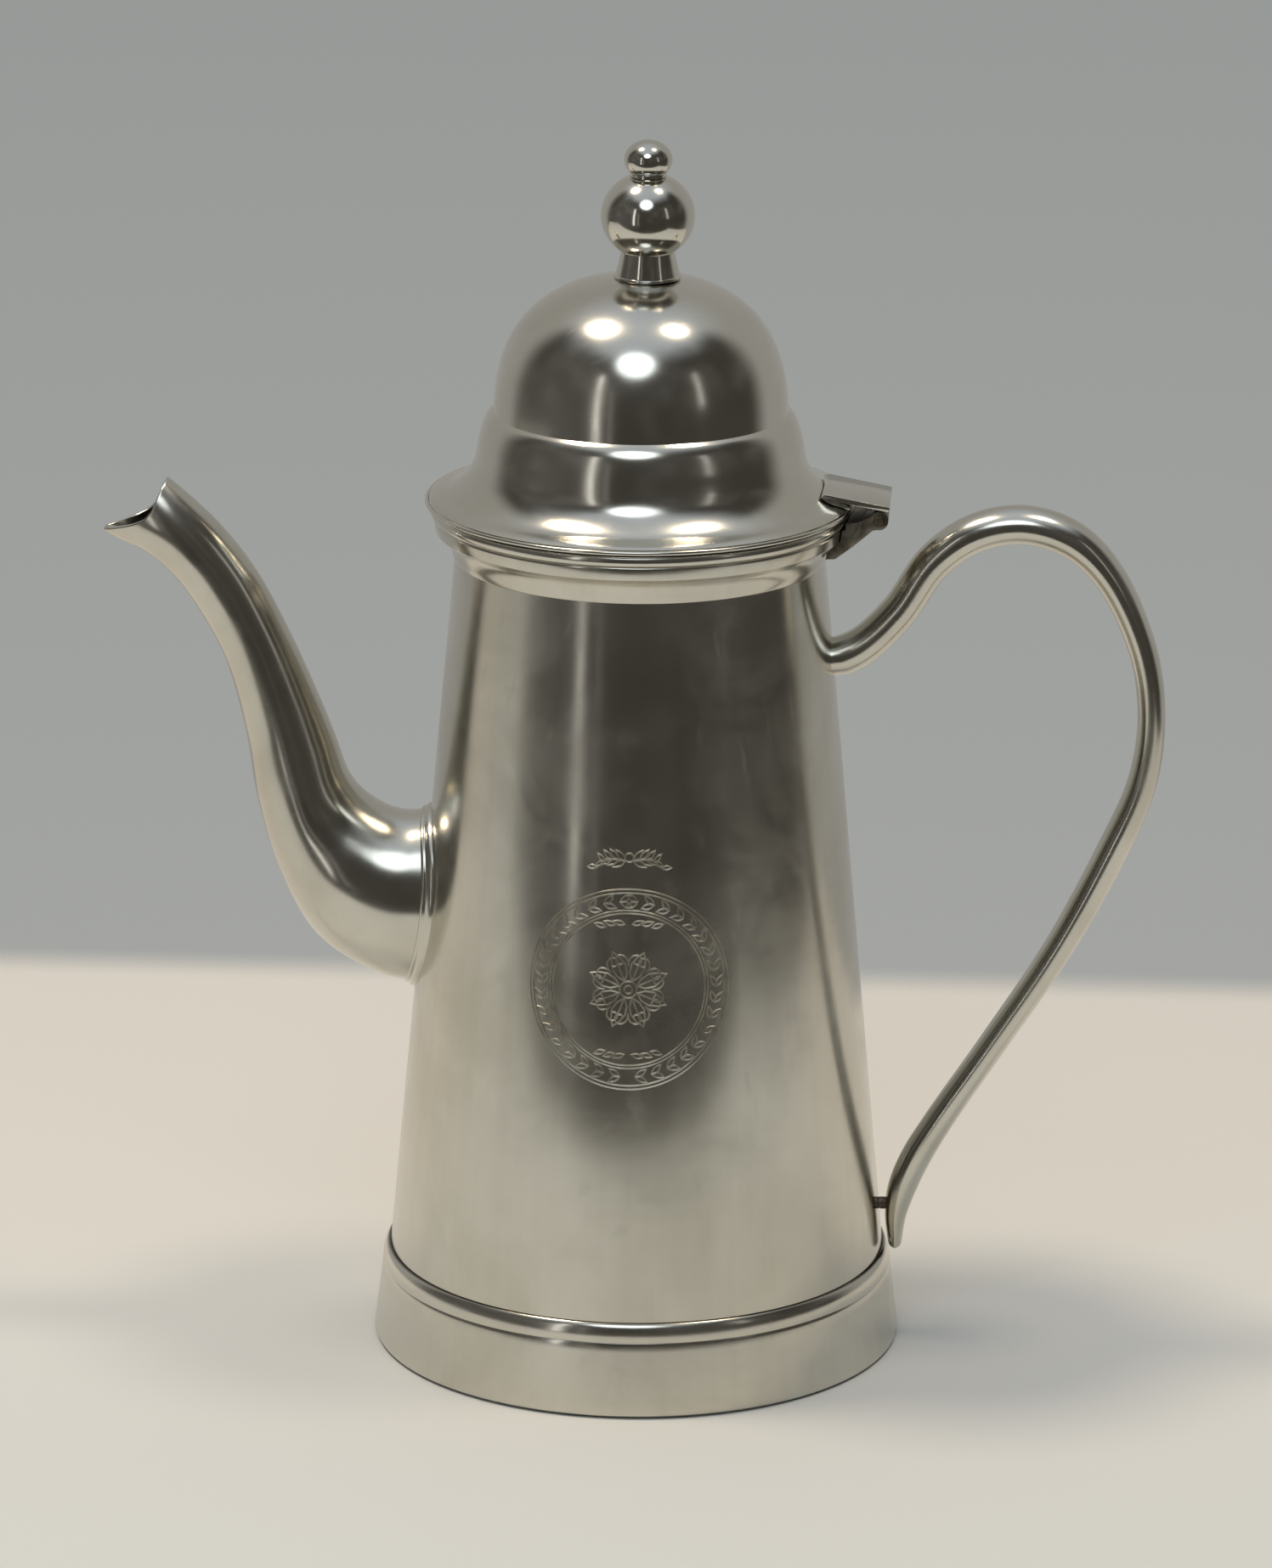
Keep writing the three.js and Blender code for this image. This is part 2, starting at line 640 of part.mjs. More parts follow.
const finialBase = crownHeight + seatGap;
const neckTop = finialBase + neckHeight;
const ballCentre = neckTop + ballHalfHeight * Math.sqrt(1 - (neckTopRadius / ballRadius) ** 2);
const waistRadius = 3.6;
const waistHeight = 0.7;
const ballTopRadius = waistRadius + 0.6;
const ballTop = ballCentre + ballHalfHeight * Math.sqrt(1 - (ballTopRadius / ballRadius) ** 2);
const tipBase = ballTop + seatGap;
const tipCentre = tipBase + waistHeight + tipHalfHeight * Math.sqrt(1 - (waistRadius / tipRadius) ** 2);
const boreRadius = studThreadRadius + threadClearance;
const washerTop = heightOnLine(lidInnerLine, washerRadius + finialOffset) - seatGap;
const studTop = tipCentre;
const studBottom = washerTop - washerThickness - nutThickness - 1.2;

function makeFinialNeck() {
  const foot = heightOnLine(lidLine, neckBaseRadius - finialOffset - 0.2) + seatGap;
  return turned([
    [boreRadius, finialBase],
    [neckBaseRadius - 1.4, finialBase],
    [neckBaseRadius, foot],
    [neckBaseRadius, foot + 0.6],
    [neckBaseRadius - 0.3, foot + 1.0],
    [neckTopRadius + 0.55, foot + 2.9],
    [neckTopRadius, neckTop],
    [boreRadius, neckTop],
  ], smallSides);
}

function ellipsoidLine(radius, halfHeight, centre, fromHeight, toHeight, steps) {
  const start = THREE.MathUtils.radToDeg(Math.asin((fromHeight - centre) / halfHeight));
  const end = THREE.MathUtils.radToDeg(Math.asin((toHeight - centre) / halfHeight));
  return arc(0, centre, radius, halfHeight, start, end, steps);
}

function makeFinialBall() {
  const start = neckTop + seatGap;
  return turned([
    [boreRadius, start],
    ...ellipsoidLine(ballRadius, ballHalfHeight, ballCentre, start, ballTop, 8),
    [boreRadius, ballTop],
  ], smallSides);
}

function makeFinialTip() {
  const globeStart = tipBase + waistHeight;
  return turned([
    [boreRadius, tipBase],
    [waistRadius, tipBase],
    ...ellipsoidLine(tipRadius, tipHalfHeight, tipCentre, globeStart, tipCentre + tipHalfHeight, 7),
    [0, studTop + threadClearance],
    [boreRadius, studTop + threadClearance],
  ], smallSides);
}

function makeFinialStud() {
  return turned([[0, studBottom], [studThreadRadius, studBottom], [studThreadRadius, studTop], [0, studTop]], 16);
}

function makeFinialWasher() {
  return turned([
    [boreRadius, washerTop - washerThickness],
    [washerRadius, washerTop - washerThickness],
    [washerRadius, washerTop - 0.2],
    [boreRadius, washerTop - 0.05],
  ], smallSides);
}

function makeFinialNut() {
  const top = washerTop - washerThickness - seatGap;
  const blank = new THREE.CylinderGeometry(nutRadius, nutRadius, nutThickness, 6);
  const hole = turned([[0, top - nutThickness - 1], [boreRadius, top - nutThickness - 1], [boreRadius, top + 1],
    [0, top + 1]], 16);
  return solid(blank.rotateX(Math.PI / 2).translate(0, 0, top - nutThickness / 2)).subtract(hole);
}

// ================= Assembly =================

const finish = {
  satin: { color: 0xb9b4a6, metalness: 1.0, roughness: 0.34 },
  bright: { color: 0xc2bfb4, metalness: 1.0, roughness: 0.2 },
  inside: { color: 0xa8a395, metalness: 1.0, roughness: 0.45 },
  dark: { color: 0x4a4438, metalness: 0.9, roughness: 0.5 },
};

function piece(name, manifold, look) {
  const mesh = new THREE.Mesh(geometryOf(manifold), new THREE.MeshStandardMaterial(look));
  mesh.name = name;
  return mesh;
}

const pot = new THREE.Group();
pot.add(
  piece('body_shell', makeBodyShell(), finish.satin),
  piece('base_plate', makeBasePlate(), finish.inside),
  piece('foot_band', makeFootBand(), finish.satin),
  piece('foot_bead', makeFootBead(), finish.bright),
  piece('foot_rim', makeFootRim(), finish.inside),
  piece('mouth_collar', makeMouthCollar(), finish.satin),
  piece('mouth_bead', makeMouthBead(), finish.bright),
  piece('spout', makeSpout(), finish.satin),
  piece('spout_flange', makeSpoutFlange(), finish.bright),
  piece('handle', makeHandle(), finish.satin),
  piece('handle_stud', makeHandleStud(), finish.dark),
  piece('hinge_body_leaf', makeHingeBodyLeaf(), finish.inside),
  piece('hinge_pin', makeHingePin(), finish.dark),
);

const finial = new THREE.Group();
finial.position.x = finialOffset;
finial.add(
  piece('finial_neck', makeFinialNeck(), finish.bright),
  piece('finial_ball', makeFinialBall(), finish.bright),
  piece('finial_tip', makeFinialTip(), finish.bright),
  piece('finial_stud', makeFinialStud(), finish.inside),
  piece('finial_washer', makeFinialWasher(), finish.inside),
  piece('finial_nut', makeFinialNut(), finish.inside),
);

const lid = new THREE.Group();
lid.add(
  piece('hinge_lid_leaf', makeHingeLidLeaf(), finish.satin),
  piece('lid_dome', makeLidDome(), finish.bright),
  piece('lid_rim', makeLidRim(), finish.bright),
  piece('lid_bezel', makeLidBezel(), finish.inside),
  finial,
);

const coffeePot = new THREE.Group();
coffeePot.add(pot, lid);

export default coffeePot;
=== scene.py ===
"""Tapered silver coffee pot: its fine surfaces, finishes and a plain studio, built round a fixed frame."""

import functools
import math

import bmesh
import bpy
from mathutils import Matrix, Vector


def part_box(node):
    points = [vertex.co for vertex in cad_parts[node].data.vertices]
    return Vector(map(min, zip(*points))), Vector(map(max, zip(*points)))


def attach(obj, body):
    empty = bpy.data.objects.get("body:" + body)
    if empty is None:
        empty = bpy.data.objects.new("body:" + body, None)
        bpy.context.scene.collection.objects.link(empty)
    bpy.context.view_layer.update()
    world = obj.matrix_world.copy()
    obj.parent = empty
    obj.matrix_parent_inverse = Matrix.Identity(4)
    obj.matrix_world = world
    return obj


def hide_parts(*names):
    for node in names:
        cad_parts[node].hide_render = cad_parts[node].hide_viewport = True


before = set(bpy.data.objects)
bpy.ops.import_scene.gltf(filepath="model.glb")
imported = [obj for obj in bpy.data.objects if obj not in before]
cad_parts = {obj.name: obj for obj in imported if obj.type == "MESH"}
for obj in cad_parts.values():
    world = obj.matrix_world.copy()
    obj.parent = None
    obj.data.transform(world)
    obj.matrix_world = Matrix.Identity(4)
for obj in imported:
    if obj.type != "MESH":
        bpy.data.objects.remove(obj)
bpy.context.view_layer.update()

bl_info = {
    "name": "Silver Coffee Pot",
    "version": (1, 0, 0),
    "blender": (4, 5, 0),
    "location": "View3D > Sidebar > Coffee Pot",
    "description": "Builds the fine pieces, finishes and studio of a silver coffee pot",
    "category": "Object",
}

MM = 0.001
TURN_SIDES = 160
WALL_SIDES = 192
SMALL_TURN_SIDES = 96
SPIN_JOIN = 2e-6
CUT_JOIN = 5e-6
MARK_DEPTH = 0.0004
SEAT_GAP = 0.06


@functools.cache
def low(node):
    """The lowest corner of a frame node, in millimetres."""
    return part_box(node)[0] / MM


@functools.cache
def high(node):
    """The highest corner of a frame node, in millimetres."""
    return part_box(node)[1] / MM


# ---------------------------------------------------------------- Settings


def length(name, description, millimetres):
    return bpy.props.FloatProperty(
        name=name, description=description, default=millimetres * MM, unit="LENGTH", precision=5)


def colour(name, description, value):
    return bpy.props.FloatVectorProperty(
        name=name, description=description, default=value, subtype="COLOR", size=3, min=0.0, max=1.0)


def share(name, description, value):
    return bpy.props.FloatProperty(
        name=name, description=description, default=value, subtype="FACTOR", min=0.0, max=1.0)


class PotSizes(bpy.types.PropertyGroup):
    """Sizes of the pot that a maker would change."""

    base_radius: length("Wall radius at the foot", "Outer radius where the straight wall starts",
                        high("body_shell").x)
    neck_radius: length("Wall radius at the neck", "Outer radius where the straight wall ends", 37.3)
    neck_rise: length("Neck height", "Height of the neck above the straight wall", 11.1)
    wall: length("Wall", "Thickness of the body wall", 1.0)
    collar_spread: length("Collar spread", "How far the moulding below the mouth stands out", 3.9)
    bead_spread: length("Mouth bead spread", "How far the wire at the mouth stands out", 4.9)
    bead_height: length("Mouth bead height", "Height of the wire at the mouth", 2.3)
    lid_wall: length("Lid wall", "Thickness of the lid", 0.9)
    flange_width: length("Lid flange width", "From the foot of the dome to the edge of the lid", 13.7)
    dome_rise: length("Dome height", "From the foot of the dome to its crown", 27.3)
    dome_foot: length("Dome foot height", "From the mouth to the foot of the dome", 19.4)
    finial_offset: length("Finial offset", "How far the finial stands towards the hinge", 1.2)
    spout_rise: length("Spout height", "Middle of the spout's joint above the straight wall's start", 73.3)
    spout_wall: length("Spout wall", "Thickness of the spout", 1.0)
    engraving_radius: length("Engraving radius", "Outer radius of the engraved wreath", 20.4)
    engraving_height: length("Engraving height", "Height of the middle of the wreath", 87.7)
    engraving_line: length("Engraved line", "Width of one engraved line", 0.38)


class PotFinish(bpy.types.PropertyGroup):
    """Colours and polish of the silver."""

    silver: colour("Silver", "Clean silver", (0.67, 0.65, 0.585))
    shade: colour("Toned silver", "Silver with a light warm tone", (0.52, 0.495, 0.42))
    # The tarnish colour is also used as painted shade, in the dark line at the top of the foot's moulding.
    tarnish_and_shade: colour("Tarnish", "Dark tone in seams and on pins", (0.11, 0.09, 0.065))
    satin: share("Satin roughness", "Roughness of the body", 0.145)
    polish: share("Lid roughness", "Roughness of the lid", 0.14)
    mirror: share("Finial roughness", "Roughness of the finial", 0.11)


class StudioSettings(bpy.types.PropertyGroup):
    """Floor, backdrop and light."""

    floor: colour("Floor", "Pale floor", (0.80, 0.825, 0.82))
    backdrop_top: colour("Backdrop, top", "Backdrop far above the floor", (0.30, 0.315, 0.305))
    backdrop_foot: colour("Backdrop, foot", "Backdrop just above the floor", (0.375, 0.38, 0.365))
    room: colour("Room", "Dark side of the room, which the polished silver reflects", (0.056, 0.052, 0.046))
    ceiling: colour("Ceiling", "Light from above", (0.49, 0.54, 0.60))
    tent: colour("Tent", "Light from the backdrop's side", (0.37, 0.365, 0.345))


def sizes():
    return bpy.context.scene.pot_sizes


def finish():
    return bpy.context.scene.pot_finish


def studio():
    return bpy.context.scene.pot_studio


# ---------------------------------------------------------------- Shapes shared by several pieces


def wall_start():
    """Height where the straight wall meets the foot's moulding."""
    return high("foot_bead").z


def mouth_height():
    return high("mouth_bead").z


def neck_height():
    return mouth_height() - sizes().neck_rise / MM


def wall_radius(height):
    """Outer radius of the body at a height."""
    base, neck = sizes().base_radius / MM, sizes().neck_radius / MM
    rise = (height - wall_start()) / (neck_height() - wall_start())
    return base + (neck - base) * min(rise, 1.0)


def wall_slope():
    return math.atan2(wall_radius(wall_start()) - wall_radius(neck_height()), neck_height() - wall_start())


def smooth_line(points, steps):
    """A smooth line through points: a centripetal Catmull-Rom curve, with that many steps between two."""
    points = [Vector(p) for p in points]
    ends = [2 * points[0] - points[1], *points, 2 * points[-1] - points[-2]]
    line = []
    for p0, p1, p2, p3 in zip(ends, ends[1:], ends[2:], ends[3:]):
        knots = [0.0]
        for a, b in ((p0, p1), (p1, p2), (p2, p3)):
            knots.append(knots[-1] + max((b - a).length, 1e-6) ** 0.5)
        t0, t1, t2, t3 = knots
        for i in range(steps):
            t = t1 + (t2 - t1) * i / steps
            a1 = p0 * ((t1 - t) / (t1 - t0)) + p1 * ((t - t0) / (t1 - t0))
            a2 = p1 * ((t2 - t) / (t2 - t1)) + p2 * ((t - t1) / (t2 - t1))
            a3 = p2 * ((t3 - t) / (t3 - t2)) + p3 * ((t - t2) / (t3 - t2))
            b1 = a1 * ((t2 - t) / (t2 - t0)) + a2 * ((t - t0) / (t2 - t0))
            b2 = a2 * ((t3 - t) / (t3 - t1)) + a3 * ((t - t1) / (t3 - t1))
            line.append(b1 * ((t2 - t) / (t2 - t1)) + b2 * ((t - t1) / (t2 - t1)))
    return [*line, points[-1]]


def arc(centre, across, up, start, end, steps):
    """Points on part of an ellipse about (radius, height), both angles in degrees from the horizontal."""
    turns = [math.radians(start + (end - start) * i / steps) for i in range(steps + 1)]
    return [(centre[0] + across * math.cos(t), centre[1] + up * math.sin(t)) for t in turns]


def offset_line(line, distance):
    """The same line moved sideways, to the right of its direction."""
    moved = []
    for i, point in enumerate(line):
        before, after = Vector(line[max(i - 1, 0)]), Vector(line[min(i + 1, len(line) - 1)])
        run = (after - before).normalized()
        moved.append((point[0] + run.y * distance, point[1] - run.x * distance))
    return moved


def on_line(line, at, axis=0):
    """The other coordinate of a line where it crosses a value."""
    for a, b in zip(line, line[1:]):
        if (a[axis] - at) * (b[axis] - at) <= 0 and a[axis] != b[axis]:
            return a[1 - axis] + (b[1 - axis] - a[1 - axis]) * (at - a[axis]) / (b[axis] - a[axis])
    return line[-1][1 - axis]


def lid_line():
    """Outer line of the lid from the middle of the crown down to the edge of the flange."""
    s = sizes()
    rim = high("lid_rim").x
    wire = (high("lid_rim").z - low("lid_rim").z) / 2
    dome = rim - s.flange_width / MM
    edge = rim - 2 * wire - SEAT_GAP
    foot = mouth_height() + s.dome_foot / MM
    rise = s.dome_rise / MM
    power = 2 / 2.35
    crown = []
    for i in range(41):
        turn = math.pi / 2 * (1 - i / 40)
        out, up = math.cos(turn) ** power, math.sin(turn) ** power
        crown.append((max(dome * out - 0.45 * math.sin(math.pi * up) * (1 - up), 0.0), foot + rise * up))
    edge_height = low("lid_rim").z + wire + 0.55
    shares = ((0, 0), (0.063, 0.039), (0.126, 0.106), (0.173, 0.189), (0.228, 0.333), (0.259, 0.467),
              (0.298, 0.589), (0.377, 0.706), (0.518, 0.822), (0.706, 0.922), (0.921, 0.972), (1, 1))
    flange = smooth_line(
        [(dome + (edge - dome) * out, foot + (edge_height - foot) * down) for out, down in shares], 4)
    return crown, [tuple(p) for p in flange[1:]]


# ---------------------------------------------------------------- Mesh tools


def turned(outline, sides=TURN_SIDES, closed=True):
    """A bmesh spun about Z from a (radius, height) outline in millimetres."""
    bm = bmesh.new()
    verts = [bm.verts.new((radius * MM, 0, height * MM)) for radius, height in outline]
    edges = [bm.edges.new(pair) for pair in zip(verts, verts[1:])]
    if closed:
        edges.append(bm.edges.new((verts[-1], verts[0])))
    bmesh.ops.spin(bm, geom=verts + edges, cent=(0, 0, 0), axis=(0, 0, 1), angle=math.tau, steps=sides,
                   use_merge=True)
    bmesh.ops.remove_doubles(bm, verts=bm.verts, dist=SPIN_JOIN)
    bmesh.ops.dissolve_degenerate(bm, dist=SPIN_JOIN, edges=bm.edges)
    bmesh.ops.recalc_face_normals(bm, faces=bm.faces)
    return bm


def soften(bm, width, steepness=32, segments=3, keep=None):
    """Rounds the sharp edges of a bmesh by a width in millimetres."""
    limit = math.radians(steepness)
    edges = [e for e in bm.edges
             if len(e.link_faces) == 2 and e.calc_face_angle() > limit and (keep is None or keep(e))]
    bmesh.ops.bevel(bm, geom=edges, offset=width * MM, offset_type="OFFSET", segments=segments, profile=0.5,
                    affect="EDGES", clamp_overlap=True, material=-1)
    return bm


def swept(places, sides):
    """A bmesh tube through oval sections. Each place is a matrix: half-axis, half-axis, direction, centre."""
    bm = bmesh.new()
    ring = bmesh.ops.create_circle(bm, cap_ends=False, segments=sides, radius=1.0, matrix=places[0])["verts"]
    edges = list({e for v in ring for e in v.link_edges})
    rings = [ring]
    for before, after in zip(places, places[1:]):
        new = bmesh.ops.extrude_edge_only(bm, edges=edges)["geom"]
        verts = [g for g in new if isinstance(g, bmesh.types.BMVert)]
        edges = [g for g in new if isinstance(g, bmesh.types.BMEdge) and g.is_boundary]
        bmesh.ops.transform(bm, matrix=after @ before.inverted(), verts=verts)
        rings.append(verts)
    return bm, rings


def oval(centre, in_plane, across):
    """The matrix of one oval section, from millimetres."""
    axis = in_plane.cross(across).normalized()
    columns = [in_plane * MM, across * MM, axis * MM, centre * MM]
    return Matrix([[*(c[row] for c in columns)] for row in range(3)] + [[0, 0, 0, 1]])


def onto_wall(verts, side, sink):
    """Slides a ring of vertices along X to a depth inside the body wall, or out from it when negative."""
    for v in verts:
        radius = wall_radius(v.co.z / MM) - sink
        v.co.x = side * math.sqrt(radius ** 2 - (v.co.y / MM) ** 2) * MM


def frame_copy(node):
    """A bmesh copy of a frame node, with its loose triangles merged and its flat faces joined."""
    bm = bmesh.new()
    bm.from_mesh(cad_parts[node].data)
    bmesh.ops.remove_doubles(bm, verts=bm.verts, dist=SPIN_JOIN)
    bmesh.ops.dissolve_limit(bm, angle_limit=math.radians(1), verts=bm.verts, edges=bm.edges)
    return bm


def carved(bm, cutter):
    """The first bmesh with the second one cut out of it."""
    objects = []
    for name, source in (("carve_body", bm), ("carve_tool", cutter)):
        mesh = bpy.data.meshes.new(name)
        source.to_mesh(mesh)
        source.free()
        objects.append(bpy.data.objects.new(name, mesh))
        bpy.context.scene.collection.objects.link(objects[-1])
    cut = objects[0].modifiers.new("cut", "BOOLEAN")
    cut.object, cut.operation, cut.solver = objects[1], "DIFFERENCE", "EXACT"
    result = bmesh.new()
    result.from_object(objects[0], bpy.context.evaluated_depsgraph_get())
    bmesh.ops.remove_doubles(result, verts=result.verts, dist=CUT_JOIN)
    bmesh.ops.dissolve_degenerate(result, dist=SPIN_JOIN, edges=result.edges)
    for obj in objects:
        mesh = obj.data
        bpy.data.objects.remove(obj)
        bpy.data.meshes.remove(mesh)
    return result


def piece(name, bm, body, nodes, material, sharp=35):
    """Makes the finished piece: it rides on a body, stands for its frame nodes and has its finish."""
    mesh = bpy.data.meshes.new(name)
    bm.to_mesh(mesh)
    bm.free()
    mesh.shade_smooth()
    mesh.set_sharp_from_angle(angle=math.radians(sharp))
    mesh.materials.append(material)
    obj = bpy.data.objects.new(name, mesh)
    bpy.context.scene.collection.objects.link(obj)
    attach(obj, body)
    if nodes:
        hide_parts(*nodes)
    return obj


# ---------------------------------------------------------------- Finishes


def add(tree, kind, where, **inputs):
    """Adds a shader node at a column and row, and sets or links its inputs by name or number."""
    node = tree.nodes.new(kind)
    node.location = (where[0] * 200, where[1] * -180)
    for key, value in inputs.items():
        feed(tree, node, key, value)
    return node


def feed(tree, node, key, value):
    socket = node.inputs[int(key[1:]) if key[0] == "_" and key[1:].isdigit() else key.replace("_", " ")]
    if isinstance(value, bpy.types.NodeSocket):
        tree.links.new(value, socket)
    else:
        socket.default_value = value


def maths(tree, where, operation, *values, clamp=False):
    node = add(tree, "ShaderNodeMath", where, **{f"_{i}": v for i, v in enumerate(values)})
    node.operation, node.use_clamp = operation, clamp
    return node.outputs[0]


def blended(tree, where, factor, a, b, kind="MIX"):
    node = tree.nodes.new("ShaderNodeMix")
    node.location = (where[0] * 200, where[1] * -180)
    node.data_type, node.blend_type = "RGBA", kind
    for index, value in ((0, factor), (6, a), (7, b)):
        if isinstance(value, bpy.types.NodeSocket):
            tree.links.new(value, node.inputs[index])
        else:
            node.inputs[index].default_value = value
    return node.outputs[2]


def ranged(tree, where, value, low_in, high_in, low_out=0.0, high_out=1.0, smooth=True):
    node = tree.nodes.new("ShaderNodeMapRange")
    node.location = (where[0] * 200, where[1] * -180)
    node.interpolation_type = "SMOOTHSTEP" if smooth else "LINEAR"
    for index, item in enumerate((value, low_in, high_in, low_out, high_out)):
        if isinstance(item, bpy.types.NodeSocket):
            tree.links.new(item, node.inputs[index])
        else:
            node.inputs[index].default_value = item
    return node.outputs[0]


def shader_group(name, inputs, outputs):
    """A new shader node group with named sockets. Sockets are (name, type, default)."""
    group = bpy.data.node_groups.new(name, "ShaderNodeTree")
    for socket, kind, default in inputs:
        made = group.interface.new_socket(name=socket, in_out="INPUT", socket_type=kind)
        if default is not None:
            made.default_value = default
    for socket, kind in outputs:
        group.interface.new_socket(name=socket, in_out="OUTPUT", socket_type=kind)
    start = group.nodes.new("NodeGroupInput")
    end = group.nodes.new("NodeGroupOutput")
    start.location, end.location = (-400, 0), (2000, 0)
    return group, start, end


def silver_tone_group():
    """Clouds of light tarnishing, and soft upright streaks of painted reflection, between two tones of
    silver.
    """
    group, start, end = shader_group(
        "Silver Tone",
        [("Position", "NodeSocketVector", None), ("Clean", "NodeSocketColor", (0.8, 0.78, 0.72, 1)),
         ("Toned", "NodeSocketColor", (0.6, 0.57, 0.5, 1)), ("Cloud Scale", "NodeSocketFloat", 30.0),
         ("Cloud Amount", "NodeSocketFloat", 0.5), ("Streak Amount", "NodeSocketFloat", 0.3)],
        [("Colour", "NodeSocketColor")])
    cloud = add(group, "ShaderNodeTexNoise", (0, 0), Vector=start.outputs["Position"],
                Scale=start.outputs["Cloud Scale"], Detail=5.0, Roughness=0.6, Distortion=0.6)
    part = add(group, "ShaderNodeSeparateXYZ", (0, 1), Vector=start.outputs["Position"])
    around = maths(group, (1, 1), "ARCTAN2", part.outputs["Y"], part.outputs["X"])
    spread = add(group, "ShaderNodeCombineXYZ", (2, 1), X=maths(group, (2, 2), "MULTIPLY", around, 9.0),
                 Y=maths(group, (2, 3), "MULTIPLY", part.outputs["Z"], 6.0))
    # Painted reflection: upright streaks of toned silver stand for the streaky reflections of tall lights on
    # the wall.
    streak = add(group, "ShaderNodeTexNoise", (3, 1), Vector=spread.outputs[0], Scale=1.6, Detail=6.0,
                 Roughness=0.62)
    clouds = maths(group, (4, 0), "MULTIPLY", ranged(group, (3, 0), cloud.outputs[0], 0.36, 0.68),
                   start.outputs["Cloud Amount"])
    reflection_streaks = maths(group, (4, 1), "MULTIPLY", ranged(group, (3, 2), streak.outputs[0], 0.4, 0.7),
                    start.outputs["Streak Amount"])
    tone = maths(group, (5, 0), "ADD", clouds, reflection_streaks, clamp=True)
    mixed = blended(group, (6, 0), tone, start.outputs["Clean"], start.outputs["Toned"])
    group.links.new(mixed, end.inputs["Colour"])
    return group


def polish_marks_group():
    """Fine buffing lines round the turned form, hair scratches and smudges, as roughness and as height."""
    group, start, end = shader_group(
        "Polish Marks",
        [("Position", "NodeSocketVector", None), ("Base Roughness", "NodeSocketFloat", 0.2),
         ("Smudge", "NodeSocketFloat", 0.06), ("Lines", "NodeSocketFloat", 0.04),
         ("Line Scale", "NodeSocketFloat", 700.0), ("Wave Height", "NodeSocketFloat", 0.3)],
        [("Roughness", "NodeSocketFloat"), ("Height", "NodeSocketFloat")])
    position = start.outputs["Position"]
    part = add(group, "ShaderNodeSeparateXYZ", (0, 0), Vector=position)
    around = maths(group, (0, 1), "ARCTAN2", part.outputs["Y"], part.outputs["X"])
    track = add(group, "ShaderNodeCombineXYZ", (1, 0),
                X=maths(group, (1, 1), "MULTIPLY", around, 0.5),
                Y=maths(group, (1, 2), "MULTIPLY", part.outputs["Z"], start.outputs["Line Scale"]))
    line = add(group, "ShaderNodeTexNoise", (2, 0), Vector=track.outputs[0], Scale=1.0, Detail=3.0,
               Roughness=0.7)
    smudge = add(group, "ShaderNodeTexNoise", (2, 1), Vector=position, Scale=45.0, Detail=4.0,
                 Roughness=0.55, Distortion=0.8)
    tilt = add(group, "ShaderNodeMapping", (1, 3), Vector=position, Rotation=(0.5, 0.9, 0.3),
               Scale=(120.0, 900.0, 120.0))
    hair = add(group, "ShaderNodeTexNoise", (2, 3), Vector=tilt.outputs[0], Scale=1.0, Detail=2.0)
    hairs = ranged(group, (3, 3), hair.outputs[0], 0.64, 0.72)
    wave = add(group, "ShaderNodeTexNoise", (2, 4), Vector=position, Scale=22.0, Detail=1.0)
    rough = maths(group, (3, 1), "MULTIPLY_ADD", ranged(group, (3, 0), smudge.outputs[0], 0.35, 0.7),
                  start.outputs["Smudge"], start.outputs["Base Roughness"])
    lined = maths(group, (4, 1), "MULTIPLY_ADD", line.outputs[0], start.outputs["Lines"], rough)
    haired = maths(group, (5, 1), "MULTIPLY_ADD", hairs, 0.03, lined, clamp=True)
    fine = maths(group, (4, 2), "MULTIPLY", hairs, -0.01)
    height = maths(group, (5, 2), "MULTIPLY_ADD", wave.outputs[0], start.outputs["Wave Height"], fine)
    group.links.new(haired, end.inputs["Roughness"])
    group.links.new(height, end.inputs["Height"])
    return group


def group_named(name, make):
    return bpy.data.node_groups.get(name) or make()


